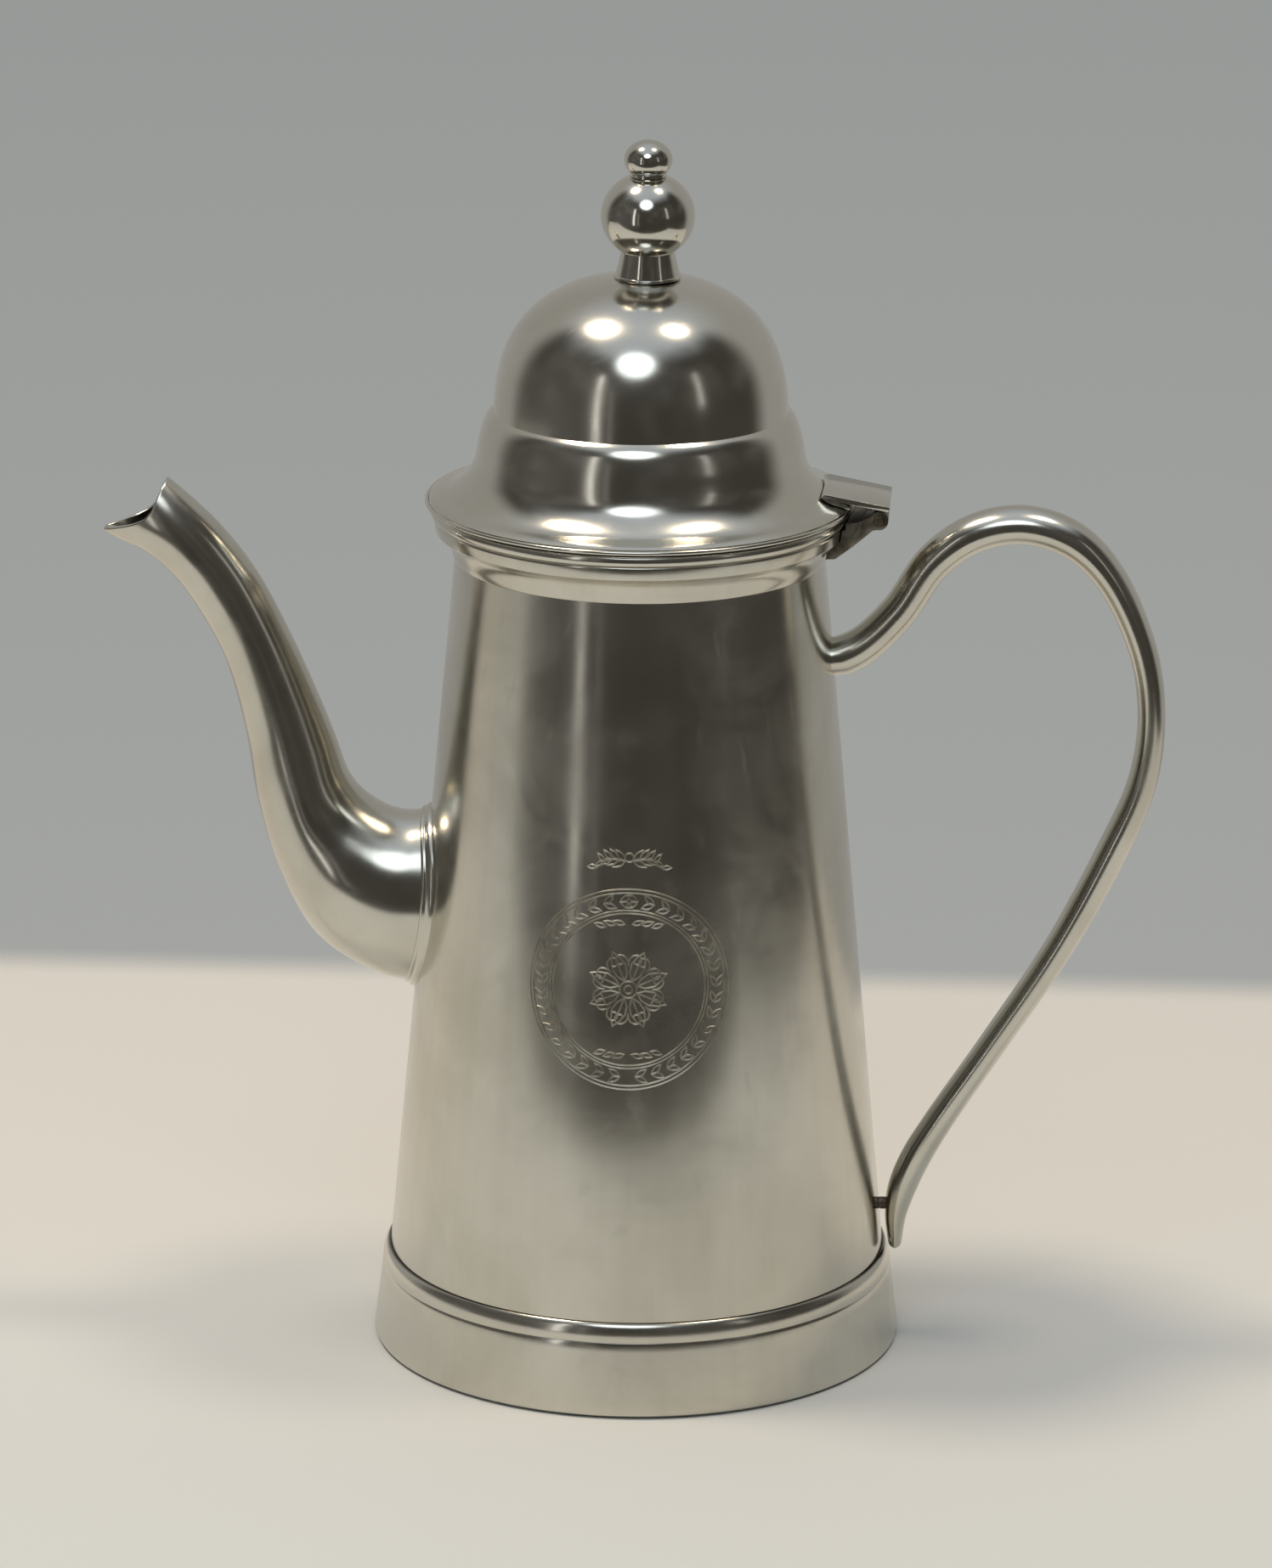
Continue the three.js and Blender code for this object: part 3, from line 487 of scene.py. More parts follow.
def silver(name, roughness, clean, toned, cloud=(30.0, 0.5), streak=0.0, smudge=0.05, lines=0.03,
           line_scale=700.0, wave=0.35, bump=0.12, painted_shade_bands=None):
    """A silver finish. Each painted shade band (height, depth, colour) darkens the silver in a band round the
    form, as painted shade.
    """
    made = bpy.data.materials.get(name)
    if made:
        return made
    made = bpy.data.materials.new(name)
    made.use_nodes = True
    tree = made.node_tree
    shader = tree.nodes["Principled BSDF"]
    shader.inputs["Metallic"].default_value = 1.0
    place = add(tree, "ShaderNodeTexCoord", (-6, 0)).outputs["Object"]
    tone = add(tree, "ShaderNodeGroup", (-4, 0))
    tone.node_tree = group_named("Silver Tone", silver_tone_group)
    marks = add(tree, "ShaderNodeGroup", (-4, 2))
    marks.node_tree = group_named("Polish Marks", polish_marks_group)
    for key, value in (("Position", place), ("Clean", (*clean, 1)), ("Toned", (*toned, 1)),
                       ("Cloud Scale", cloud[0]), ("Cloud Amount", cloud[1]), ("Streak Amount", streak)):
        feed(tree, tone, key, value)
    for key, value in (("Position", place), ("Base Roughness", roughness), ("Smudge", smudge),
                       ("Lines", lines), ("Line Scale", line_scale), ("Wave Height", wave)):
        feed(tree, marks, key, value)
    base = tone.outputs["Colour"]
    # Painted shade: each band blends the colour towards its dark colour near its height.
    for height, depth, dark in painted_shade_bands or ():
        part = add(tree, "ShaderNodeSeparateXYZ", (-4, 4), Vector=place)
        lift = maths(tree, (-3, 5), "SUBTRACT", part.outputs["Z"], height * MM)
        away = maths(tree, (-3, 4), "ABSOLUTE", lift)
        near = ranged(tree, (-2, 4), away, 0.0, depth * MM, 1.0, 0.0)
        base = blended(tree, (-1, 1), near, base, (*dark, 1))
    bumped = add(tree, "ShaderNodeBump", (-2, 2), Strength=bump, Distance=MARK_DEPTH,
                 Height=marks.outputs["Height"])
    feed(tree, shader, "Base Color", base)
    feed(tree, shader, "Roughness", marks.outputs["Roughness"])
    feed(tree, shader, "Normal", bumped.outputs[0])
    return made


def satin_silver():
    f = finish()
    # The satin body carries the painted reflection streaks.
    return silver("satin silver", f.satin, f.silver, f.shade, cloud=(24.0, 0.6), streak=0.15, smudge=0.07)


def polished_silver():
    f = finish()
    return silver("polished silver", f.polish, f.silver, f.shade, cloud=(34.0, 0.3), smudge=0.05, lines=0.03,
                  wave=0.3)


def mirror_silver():
    f = finish()
    return silver("mirror silver", f.mirror, f.silver, f.shade, cloud=(60.0, 0.25), smudge=0.03, lines=0.02,
                  wave=0.12, line_scale=2600.0)


def painted_shade_line_silver():
    """The foot's moulding: satin, with painted shade as a dark line in the seam along its upper edge."""
    f = finish()
    return silver("painted shade line silver", f.satin, f.silver, f.shade, cloud=(24.0, 0.45), smudge=0.07,
                  painted_shade_bands=[(high("foot_bead").z, 0.35, f.tarnish_and_shade)])


def dull_silver():
    f = finish()
    toned = [a * 0.6 + b * 0.4 for a, b in zip(f.shade, f.tarnish_and_shade)]
    return silver("dull silver", 0.42, f.shade, toned, cloud=(70.0, 0.6), smudge=0.1, lines=0.08, wave=0.5)


def tarnished_silver():
    f = finish()
    return silver("tarnished silver", 0.5, f.tarnish_and_shade, f.shade, cloud=(300.0, 0.4), smudge=0.15, lines=0.05,
                  wave=0.4)


def grime_and_shade_silver():
    """The hinge bracket: its silver darkened all over as painted shade, with clouds of old polish and dirt.
    """
    f = finish()
    # Painted shade: the bracket's clean silver is darkened to stand for the shade on its face.
    darkened_for_shade = [a * 0.55 for a in f.shade]
    return silver("grime and shade silver", 0.4, darkened_for_shade, f.tarnish_and_shade, cloud=(190.0, 1.0), smudge=0.15, lines=0.05, wave=0.5)


def cut_silver():
    """The engraved lines, rougher and a little darker than the wall."""
    f = finish()
    clean = [a * 0.85 for a in f.shade]
    toned = [a * 0.3 + b * 0.7 for a, b in zip(f.shade, f.tarnish_and_shade)]
    return silver("cut silver", 0.3, clean, toned, cloud=(180.0, 0.8), smudge=0.12, lines=0.05, wave=0.2)


# ---------------------------------------------------------------- Body, foot and mouth


class POT_OT_body(bpy.types.Operator):
    """Builds the straight wall with its strainer holes, and the floor plate inside it"""

    bl_idname = "coffee_pot.body"
    bl_label = "Body"

    def execute(self, context):
        s = sizes()
        wall = s.wall / MM
        bottom = low("body_shell").z
        spout = wall_start() + s.spout_rise / MM
        levels = [wall_start(), spout - 24, spout + 24, neck_height()]
        outer = [(wall_radius(wall_start()), bottom), *((wall_radius(h), h) for h in levels),
                 (wall_radius(neck_height()), mouth_height() - SEAT_GAP)]
        inner = [(radius - wall, height) for radius, height in reversed(outer)]
        shell = turned(outer + inner, sides=WALL_SIDES)
        pitch, hole = 5.4, 1.7
        drills = bmesh.new()
        for row in range(-2, 3):
            count = 5 - abs(row)
            for column in range(count):
                place = Vector((-wall_radius(spout), (column - (count - 1) / 2) * pitch,
                                spout + row * pitch * math.sin(math.pi / 3))) * MM
                bmesh.ops.create_cone(
                    drills, cap_ends=True, segments=24, radius1=hole * MM, radius2=hole * MM, depth=16 * MM,
                    matrix=Matrix.Translation(place) @ Matrix.Rotation(math.pi / 2, 4, "Y"))
        shell = carved(shell, drills)
        piece("pot_wall", shell, "pot", ["body_shell"], satin_silver(), sharp=25)

        top, radius = high("base_plate").z, high("base_plate").x
        lip = low("base_plate").z
        flat = top - 1.4
        plate = [(0, top), (radius * 0.45, top - 0.35), (radius - 8, flat + 0.1), (radius, flat),
                 (radius, lip), (radius - 1, lip), (radius - 1, flat - 1), (radius - 8, flat - 0.9),
                 (radius * 0.45, top - 1.35), (0, top - 1)]
        floor_plate = soften(turned(plate, closed=False), 0.25)
        piece("floor_plate", floor_plate, "pot", ["base_plate"], dull_silver())
        return {"FINISHED"}


class POT_OT_foot(bpy.types.Operator):
    """Builds the flared foot band, its moulding and the ring that the pot stands on"""

    bl_idname = "coffee_pot.foot"
    bl_label = "Foot"

    def execute(self, context):
        outer, top = high("foot_band").x, high("foot_band").z
        bottom = low("foot_band").z
        inner = wall_radius(wall_start()) + SEAT_GAP
        bead_radius = high("foot_bead").x
        side = [(outer - 0.02, bottom + 1.4), (outer - 0.8, 8.4), (bead_radius + 0.1, top - 0.7)]
        band = [(outer - 0.45, bottom), *arc((outer - 0.5, bottom + 0.7), 0.5, 0.7, -80, 0, 5)[1:],
                *smooth_line(side, 5),
                (bead_radius - 0.1, top), (inner, top), (inner, top - 3), (bead_radius - 0.5, top - 6),
                (outer - 1, bottom)]
        piece("foot_skirt", soften(turned(band, sides=WALL_SIDES), 0.12, steepness=50), "pot", ["foot_band"],
              satin_silver())

        start = low("foot_bead").z
        rise = high("foot_bead").z - start
        moulding = [(inner, start), *arc((inner, start), bead_radius - inner, rise, 0, 88, 14)]
        piece("foot_moulding", turned(moulding, sides=WALL_SIDES), "pot", ["foot_bead"],
              painted_shade_line_silver())

        ring_outer, ring_top = high("foot_rim").x, high("foot_rim").z
        width = 1.6
        ring = [(ring_outer - width, 0), (ring_outer, 0), (ring_outer - 0.2, ring_top),
                (ring_outer - width, ring_top)]
        piece("foot_ring", soften(turned(ring), 0.25), "pot", ["foot_rim"], dull_silver())
        return {"FINISHED"}


def collar_line():
    """Outer line of the moulding below the mouth: a cove, then a band that turns in at its upper edge."""
    s = sizes()
    neck, start, spread = s.neck_radius / MM, neck_height(), s.collar_spread / MM
    top = mouth_height() - s.bead_height / MM
    cove = smooth_line([(neck + 0.1, start + 0.2), (neck + 0.5, start + 1.3), (neck + 0.8, start + 2.5),
                        (neck + 1.3, start + 3.7), (neck + 2.1, start + 4.8),
                        (neck + spread - 0.5, start + 5.75)], 4)
    return [*map(tuple, cove), (neck + spread, start + 6.0), (neck + spread + 0.3, top - 0.5),
            (neck + spread + 0.05, top - SEAT_GAP)]


class POT_OT_mouth(bpy.types.Operator):
    """Builds the moulding below the mouth and the wire round it"""

    bl_idname = "coffee_pot.mouth"
    bl_label = "Mouth"

    def execute(self, context):
        s = sizes()
        inner = s.neck_radius / MM + SEAT_GAP
        line = collar_line()
        collar = [(inner, line[0][1]), *line[1:], (inner, line[-1][1])]
        moulding = soften(turned(collar, sides=WALL_SIDES), 0.18, steepness=28)
        piece("neck_moulding", moulding, "pot", ["mouth_collar"], satin_silver())
        half = s.bead_height / MM / 2
        middle = mouth_height() - half
        edge = (s.neck_radius + s.bead_spread) / MM
        bead = [(inner, middle - half), *arc((edge - 0.85, middle), 0.85, half, -90, 90, 16),
                (inner, mouth_height())]
        wire = turned(bead, sides=WALL_SIDES)
        piece("mouth_wire", wire, "pot", ["mouth_bead"], polished_silver())
        return {"FINISHED"}


# ---------------------------------------------------------------- Spout

# Side view of the spout from the wall to the mouth: a point on its top line and one on its underside, both
# out from the wall at the spout's height and up from that height, and the half-width there. Millimetres.
SPOUT_STATIONS = (
    ((-5.0, 18.6), (-2.0, -18.4), 14.8), ((3.6, 17.3), (8.2, -16.9), 15.0),
    ((10.3, 19.9), (21.4, -8.9), 13.8), ((14.9, 24.7), (29.4, 5.1), 11.4),
    ((18.0, 33.2), (33.9, 20.3), 9.6), ((21.0, 40.9), (36.0, 33.6), 8.3),
    ((27.3, 55.3), (40.1, 49.1), 7.2), ((34.0, 67.9), (45.9, 60.2), 6.9),
    ((40.8, 76.7), (51.3, 67.3), 6.8), ((47.6, 83.3), (56.7, 71.6), 6.4),
    ((52.8, 87.6), (60.8, 73.3), 5.3), ((58.3, 91.6), (64.7, 75.3), 3.9),
)
# The edge of the mouth in the same view: down the front of the hood, then out along the rim of the beak.
SPOUT_MOUTH = (
    (49.7, 90.0), (51.7, 86.4), (53.2, 83.2), (54.2, 80.8), (55.7, 79.1), (58.4, 77.7), (61.9, 76.5),
    (63.8, 75.9), (66.5, 75.3),
)
SPOUT_STEPS = 8
SPOUT_SIDES = 64


class SpoutForm:
    """The spout's surface as a function of a share of its length and an angle round it."""

    def __init__(self):
        height = wall_start() + sizes().spout_rise / MM
        self.root = (-wall_radius(height), height)
        self.rows = smooth_line([(*top, *under, half) for top, under, half in SPOUT_STATIONS], SPOUT_STEPS)

    def section(self, at):
        place = at * (len(self.rows) - 1)
        index = min(int(place), len(self.rows) - 2)
        row = self.rows[index].lerp(self.rows[index + 1], place - index)
        top = Vector((self.root[0] - row[0], 0, self.root[1] + row[1]))
        under = Vector((self.root[0] - row[2], 0, self.root[1] + row[3]))
        return top, under, row[4]

    def place(self, at, grow=0.0):
        top, under, half = self.section(at)
        in_plane = (top - under) / 2
        in_plane *= 1 + grow / in_plane.length
        return oval((top + under) / 2, in_plane, Vector((0, half + grow, 0)))

    def point(self, at, angle):
        return self.place(at) @ Vector((math.cos(angle), math.sin(angle), 0))

    def mouth_share(self, angle):
        """Where the line along the spout at this angle meets the edge of the mouth."""
        near, far = 0.75, 1.0
        if not self.beyond_mouth(self.point(far, angle)):
            return far
        for _ in range(30):
            middle = (near + far) / 2
            if self.beyond_mouth(self.point(middle, angle)):
                far = middle
            else:
                near = middle
        return near

    def beyond_mouth(self, point):
        out = self.root[0] - point.x / MM
        if out <= SPOUT_MOUTH[0][0]:
            return False
        return point.z / MM - self.root[1] > on_line(SPOUT_MOUTH, out)


class POT_OT_spout(bpy.types.Operator):
    """Builds the swan-neck spout and the narrow collar round its joint"""

    bl_idname = "coffee_pot.spout"
    bl_label = "Spout"

    def execute(self, context):
        form = SpoutForm()
        start, settle, count = 0.045, 0.7, 96
        shares = [start + (1 - start) * i / count for i in range(count + 1)]
        places = [form.place(at) for at in shares]
        tube, rings = swept(places, SPOUT_SIDES)
        ends = {}
        for at, place, ring in zip(shares, places, rings):
            if at <= settle:
                continue
            back = place.inverted()
            for v in ring:
                flat = back @ v.co
                angle = round(math.atan2(flat.y, flat.x), 5)
                if angle not in ends:
                    ends[angle] = form.mouth_share(angle)
                v.co = form.point(settle + (ends[angle] - settle) * (at - settle) / (1 - settle), angle)
        onto_wall(rings[0], -1, 0.4)
        bmesh.ops.recalc_face_normals(tube, faces=tube.faces)
        wall = sizes().spout_wall
        bmesh.ops.solidify(tube, geom=tube.faces[:], thickness=wall)
        beak = (form.root[0] - SPOUT_MOUTH[0][0] + 3) * MM
        soften(tube, 0.25, steepness=45, keep=lambda e: all(v.co.x < beak for v in e.verts))
        piece("spout_tube", tube, "pot", ["spout"], satin_silver(), sharp=40)

        profile = ((1.25, -0.4), (1.25, 0.35), (1.15, 0.7), (0.9, 1.0), (0.5, 1.15), (0.42, 1.3), (0.5, 1.5),
                   (0.5, 1.75), (0.4, 1.95), (0.15, 2.05), (-0.2, 2.05), (-0.2, -0.4))
        band, rings = swept([form.place(start, grow) for grow, _ in profile], SPOUT_SIDES * 2)
        for ring, (_, stand) in zip(rings, profile):
            onto_wall(ring, -1, -stand)
        bmesh.ops.bridge_loops(band, edges=[e for e in band.edges if e.is_boundary])
        bmesh.ops.recalc_face_normals(band, faces=band.faces)
        piece("spout_collar", band, "pot", ["spout_flange"], polished_silver(), sharp=60)
        return {"FINISHED"}


# ---------------------------------------------------------------- Handle

# Middle line of the handle from the upper joint round to the lower tip: out from the wall, share of the rise
# from tip to joint, thickness in the plane of the loop and width across it. Lengths in millimetres.
HANDLE_STATIONS = (
    (-2.0, 0.982, 8.4, 10.0), (5.7, 1.009, 7.8, 10.0), (13.9, 1.068, 7.5, 10.0), (21.7, 1.150, 7.6, 10.0),
    (29.8, 1.198, 7.8, 10.0), (39.5, 1.214, 7.8, 10.0), (49.2, 1.192, 7.5, 10.0), (56.7, 1.134, 6.6, 9.6),
    (62.4, 1.015, 5.8, 9.2), (63.3, 0.906, 5.7, 9.0), (60.5, 0.795, 6.0, 9.0), (52.9, 0.672, 6.4, 8.8),
    (40.7, 0.510, 6.0, 8.4), (25.5, 0.342, 5.7, 8.0), (13.5, 0.212, 6.0, 7.6), (8.0, 0.145, 6.3, 7.3),
    (4.9, 0.094, 5.8, 7.0), (3.3, 0.050, 4.4, 6.6), (2.7, 0.0, 2.6, 6.0),
)
HANDLE_TIP_RISE = 3.6
HANDLE_JOINT_DROP = 18.9
HANDLE_STEPS = 8
HANDLE_SIDES = 40


class POT_OT_handle(bpy.types.Operator):
    """Builds the looped handle and the pin that holds its lower end off the wall"""

    bl_idname = "coffee_pot.handle"
    bl_label = "Handle"

    def execute(self, context):
        tip = high("foot_band").z + HANDLE_TIP_RISE
        joint = neck_height() - HANDLE_JOINT_DROP
        stations = []
        for out, rise, thick, wide in HANDLE_STATIONS:
            height = tip + rise * (joint - tip)
            stations.append((wall_radius(height) + out, height, thick, wide))
        rows = smooth_line(stations, HANDLE_STEPS)[3:]
        places = []
        for i, row in enumerate(rows):
            before, after = rows[max(i - 1, 0)], rows[min(i + 1, len(rows) - 1)]
            along = Vector((after[0] - before[0], 0, after[1] - before[1])).normalized()
            in_plane = Vector((-along.z, 0, along.x)) * row[2] / 2
            places.append(oval(Vector((row[0], 0, row[1])), in_plane, Vector((0, row[3] / 2, 0))))
        bar, rings = swept(places, HANDLE_SIDES)
        onto_wall(rings[0], 1, 0.4)
        bmesh.ops.holes_fill(bar, edges=[e for e in bar.edges if e.is_boundary], sides=0)
        bmesh.ops.recalc_face_normals(bar, faces=bar.faces)
        soften(bar, 0.6, steepness=60, segments=4, keep=lambda e: e.verts[0].co.z < (tip + 2) * MM)
        piece("handle_bar", bar, "pot", ["handle"], satin_silver())
        pin = soften(frame_copy("handle_stud"), 0.15)
        piece("handle_pin", pin, "pot", ["handle_stud"], tarnished_silver())
        return {"FINISHED"}


# ---------------------------------------------------------------- Hinge


class POT_OT_hinge(bpy.types.Operator):
    """Builds the hinge: its bracket on the collar, its rod and the folded strap on the lid"""

    bl_idname = "coffee_pot.hinge"
    bl_label = "Hinge"

    def execute(self, context):
        for name, node, body, slot, look, width in (
                ("hinge_bracket", "hinge_body_leaf", "pot", "inner_silver", grime_and_shade_silver(), 0.16),
                ("hinge_rod", "hinge_pin", "pot", "darkened_pin", tarnished_silver(), 0.14),
                ("hinge_strap", "hinge_lid_leaf", "lid", "satin_silver", polished_silver(), 0.16)):
            leaf_form = soften(frame_copy(node), width, steepness=40, segments=2)
            bmesh.ops.remove_doubles(leaf_form, verts=leaf_form.verts, dist=SPIN_JOIN)
            bmesh.ops.dissolve_degenerate(leaf_form, dist=SPIN_JOIN, edges=leaf_form.edges)
            piece(name, leaf_form, body, [node], look)
        return {"FINISHED"}


# ---------------------------------------------------------------- Lid and finial


class POT_OT_lid(bpy.types.Operator):
    """Builds the domed lid, the wire round its edge and the bezel that drops into the mouth"""

    bl_idname = "coffee_pot.lid"
    bl_label = "Lid"

    def execute(self, context):
        s = sizes()
        crown, flange = lid_line()
        line = crown + flange
        inner = offset_line(line, s.lid_wall / MM)
        hole = 3.2
        outer_part = [(hole, on_line(line, hole)), *(p for p in line if p[0] > hole)]
        inner_part = [*(p for p in reversed(inner) if p[0] > hole), (hole, on_line(inner, hole))]
        dome = turned(outer_part + inner_part, sides=WALL_SIDES)
        piece("lid_shell", dome, "lid", ["lid_dome"], polished_silver(), sharp=30)

        wire = (high("lid_rim").z - low("lid_rim").z) / 2 / math.sin(math.radians(60))
        centre = (high("lid_rim").x - wire, (high("lid_rim").z + low("lid_rim").z) / 2)
        rim = turned(arc(centre, wire, wire, 0, 340, 17), sides=WALL_SIDES)
        piece("lid_wire", rim, "lid", ["lid_rim"], polished_silver())

        outer, bottom, top = high("lid_bezel").x, low("lid_bezel").z, high("lid_bezel").z
        bezel = [(outer - 0.8, bottom), (outer - 0.3, bottom), (outer, bottom + 0.6), (outer, top),
                 (outer - 0.8, top)]
        tube = soften(turned(bezel), 0.12)
        piece("lid_bezel_tube", tube, "lid", ["lid_bezel"], dull_silver())
        return {"FINISHED"}


class POT_OT_finial(bpy.types.Operator):
    """Builds the turned finial: its pedestal, globe and tip, and the bolt, washer and nut inside the lid"""

    bl_idname = "coffee_pot.finial"
    bl_label = "Finial"

    def execute(self, context):
        shift = sizes().finial_offset
        bore = 1.58

        def place(name, bm, node, slot, look, sharp=35):
            bmesh.ops.translate(bm, verts=bm.verts, vec=(shift, 0, 0))
            piece(name, bm, "lid", [node], look, sharp)

        foot, neck_top = low("finial_neck").z, high("finial_neck").z
        wide = high("finial_neck").y
        top = 5.4
        cone = smooth_line([(wide - 0.42, foot + 1.05), (top + 0.5, foot + 2.9), (top, neck_top)], 8)
        lip = arc((wide - 0.32, foot + 0.35), 0.32, 0.35, -90, 90, 8)
        pedestal = [(bore, foot + 0.2), (wide - 1.4, foot + 0.2), *lip, *map(tuple, cone), (bore, neck_top)]
        form = turned(pedestal, SMALL_TURN_SIDES)
        place("finial_pedestal", form, "finial_neck", "bright_silver", mirror_silver())

        ball_low, ball_high = low("finial_ball").z, high("finial_ball").z
        radius, half = 9.45, 8.8
        centre = ball_low + half * math.sqrt(1 - (top / radius) ** 2) - SEAT_GAP
        start = math.degrees(math.asin((ball_low - centre) / half))
        end = math.degrees(math.asin((ball_high - centre) / half))
        globe = [(bore, ball_low), *arc((0, centre), radius, half, start, end, 36), (bore, ball_high)]
        form = turned(globe, SMALL_TURN_SIDES)
        place("finial_globe", form, "finial_ball", "bright_silver", mirror_silver())

        tip_low, tip_high = low("finial_tip").z, high("finial_tip").z
        tip_radius, tip_half, waist = 4.85, 4.0, 3.6
        tip_centre = tip_high - tip_half
        start = -math.degrees(math.acos(waist / tip_radius))
        cap = [(bore, tip_low), (waist, tip_low), *arc((0, tip_centre), tip_radius, tip_half, start, 90, 26),
               (0, tip_centre), (bore, tip_centre)]
        place("finial_top", turned(cap, SMALL_TURN_SIDES), "finial_tip", "bright_silver", mirror_silver())

        bolt_low, bolt_high = low("finial_stud").z, high("finial_stud").z
        rod = [(0, bolt_low), (1.5, bolt_low), (1.5, bolt_high), (0, bolt_high)]
        bolt = soften(turned(rod, 48, closed=False), 0.25)
        place("finial_bolt", bolt, "finial_stud", "inner_silver", dull_silver())
        disc_low, disc_high = low("finial_washer").z, high("finial_washer").z
        disc = [(bore, disc_low), (6.2, disc_low), (6.2, disc_high - 0.15), (bore, disc_high)]
        place("finial_disc", soften(turned(disc, 64), 0.12), "finial_washer", "inner_silver", dull_silver())
        nut = soften(frame_copy("finial_nut"), 0.2, steepness=40)
        piece("finial_hex_nut", nut, "lid", ["finial_nut"], dull_silver())
        return {"FINISHED"}


# ---------------------------------------------------------------- Engraving


def leaf(root, heading, size, plump=0.3):
    """A closed leaf outline in the flat, from its root along a heading in radians."""
    side = [(0.0, 0.0), (0.22, 0.75), (0.5, 1.0), (0.78, 0.62), (1.0, 0.0)]
    points = [(x, y * plump / 2) for x, y in side] + [(x, -y * plump / 2) for x, y in reversed(side[1:-1])]
    turn = Matrix.Rotation(heading, 2)
    return [Vector(root) + turn @ (Vector(p) * size) for p in points]


def ring_of(radius, count=120):
    return [Vector((radius * math.cos(math.tau * i / count), radius * math.sin(math.tau * i / count)))
            for i in range(count)]


def scroll(root, heading, size, turns=1.15, side=1):
    """An open scroll that starts along a heading and curls in."""
    points, place, steps = [Vector(root)], Vector(root), 26
    for i in range(steps):
        bend = side * math.tau * turns * (i / steps) ** 1.6
        place = place + Vector((math.cos(heading + bend), math.sin(heading + bend))) * size * 2.2 / steps
        points.append(place)
    return points


def wreath_strokes(radius):
    """The strokes of the engraving as (points, closed), in millimetres about its middle."""
    inner = radius * 0.76
    strokes = [(ring_of(radius), True), (ring_of(radius - 0.75), True), (ring_of(inner + 0.6), True),
               (ring_of(inner), True)]
    middle = (radius - 0.75 + inner + 0.6) / 2
    count = 34
    for i in range(count):
        angle = math.tau * (i + 0.5) / count - math.pi / 2
        side = 1 if math.cos(angle) > 0 else -1
        root = Vector((middle * math.cos(angle), middle * math.sin(angle)))
        along = angle + side * math.pi / 2
        for lean in (0.55, -0.55):
            strokes.append((leaf(root, along + lean, 2.5, 0.42), True))
    petals = 8
    for i in range(petals):
        angle = math.tau * (i + 0.5) / petals
        heading = Vector((math.cos(angle), math.sin(angle)))
        strokes.append((leaf(heading * 1.9, angle, 6.2, 0.46), True))
        strokes.append(([heading * 2.4, heading * 6.6], False))
        between = angle + math.pi / petals
        root = Vector((math.cos(between), math.sin(between))) * 4.6
        for side in (1, -1):
            strokes.append((scroll(root, between, 3.3, 1.0, side), False))
    strokes.append((ring_of(1.7, 28), True))
    strokes.append((ring_of(0.8, 18), True))
    for side in (1, -1):
        for lift in (1, -1):
            for step in range(3):
                root = Vector((side * (0.8 + 1.9 * step), lift * (inner - 2.2 - 0.16 * step ** 2)))
                heading = 0 if side > 0 else math.pi
                strokes.append((leaf(root, heading + side * lift * 0.25, 2.2, 0.4), True))
    strokes += sprig_strokes(radius + 6.4)
    return strokes


def sprig_strokes(height):
    """A level spray of two leafy stems that meet in a small round flower."""
    strokes = [([p + Vector((0, height)) for p in ring_of(0.9, 20)], True)]
    for side in (1, -1):
        stem = [Vector((side * t, height - 0.9 + 0.3 * t - 0.012 * t * t * t))
                for t in (0.9, 2.2, 3.6, 5.0, 6.4)]
        strokes.append((stem, False))
        for i, root in enumerate(stem[:-1]):
            heading = 0.12 if side > 0 else math.pi - 0.12
            for lean in (0.75, -0.6):
                strokes.append((leaf(root, heading + side * lean, 2.7 - 0.25 * i, 0.42), True))
        strokes.append((leaf(stem[-1], 0.0 if side > 0 else math.pi, 1.9, 0.4), True))
    return strokes


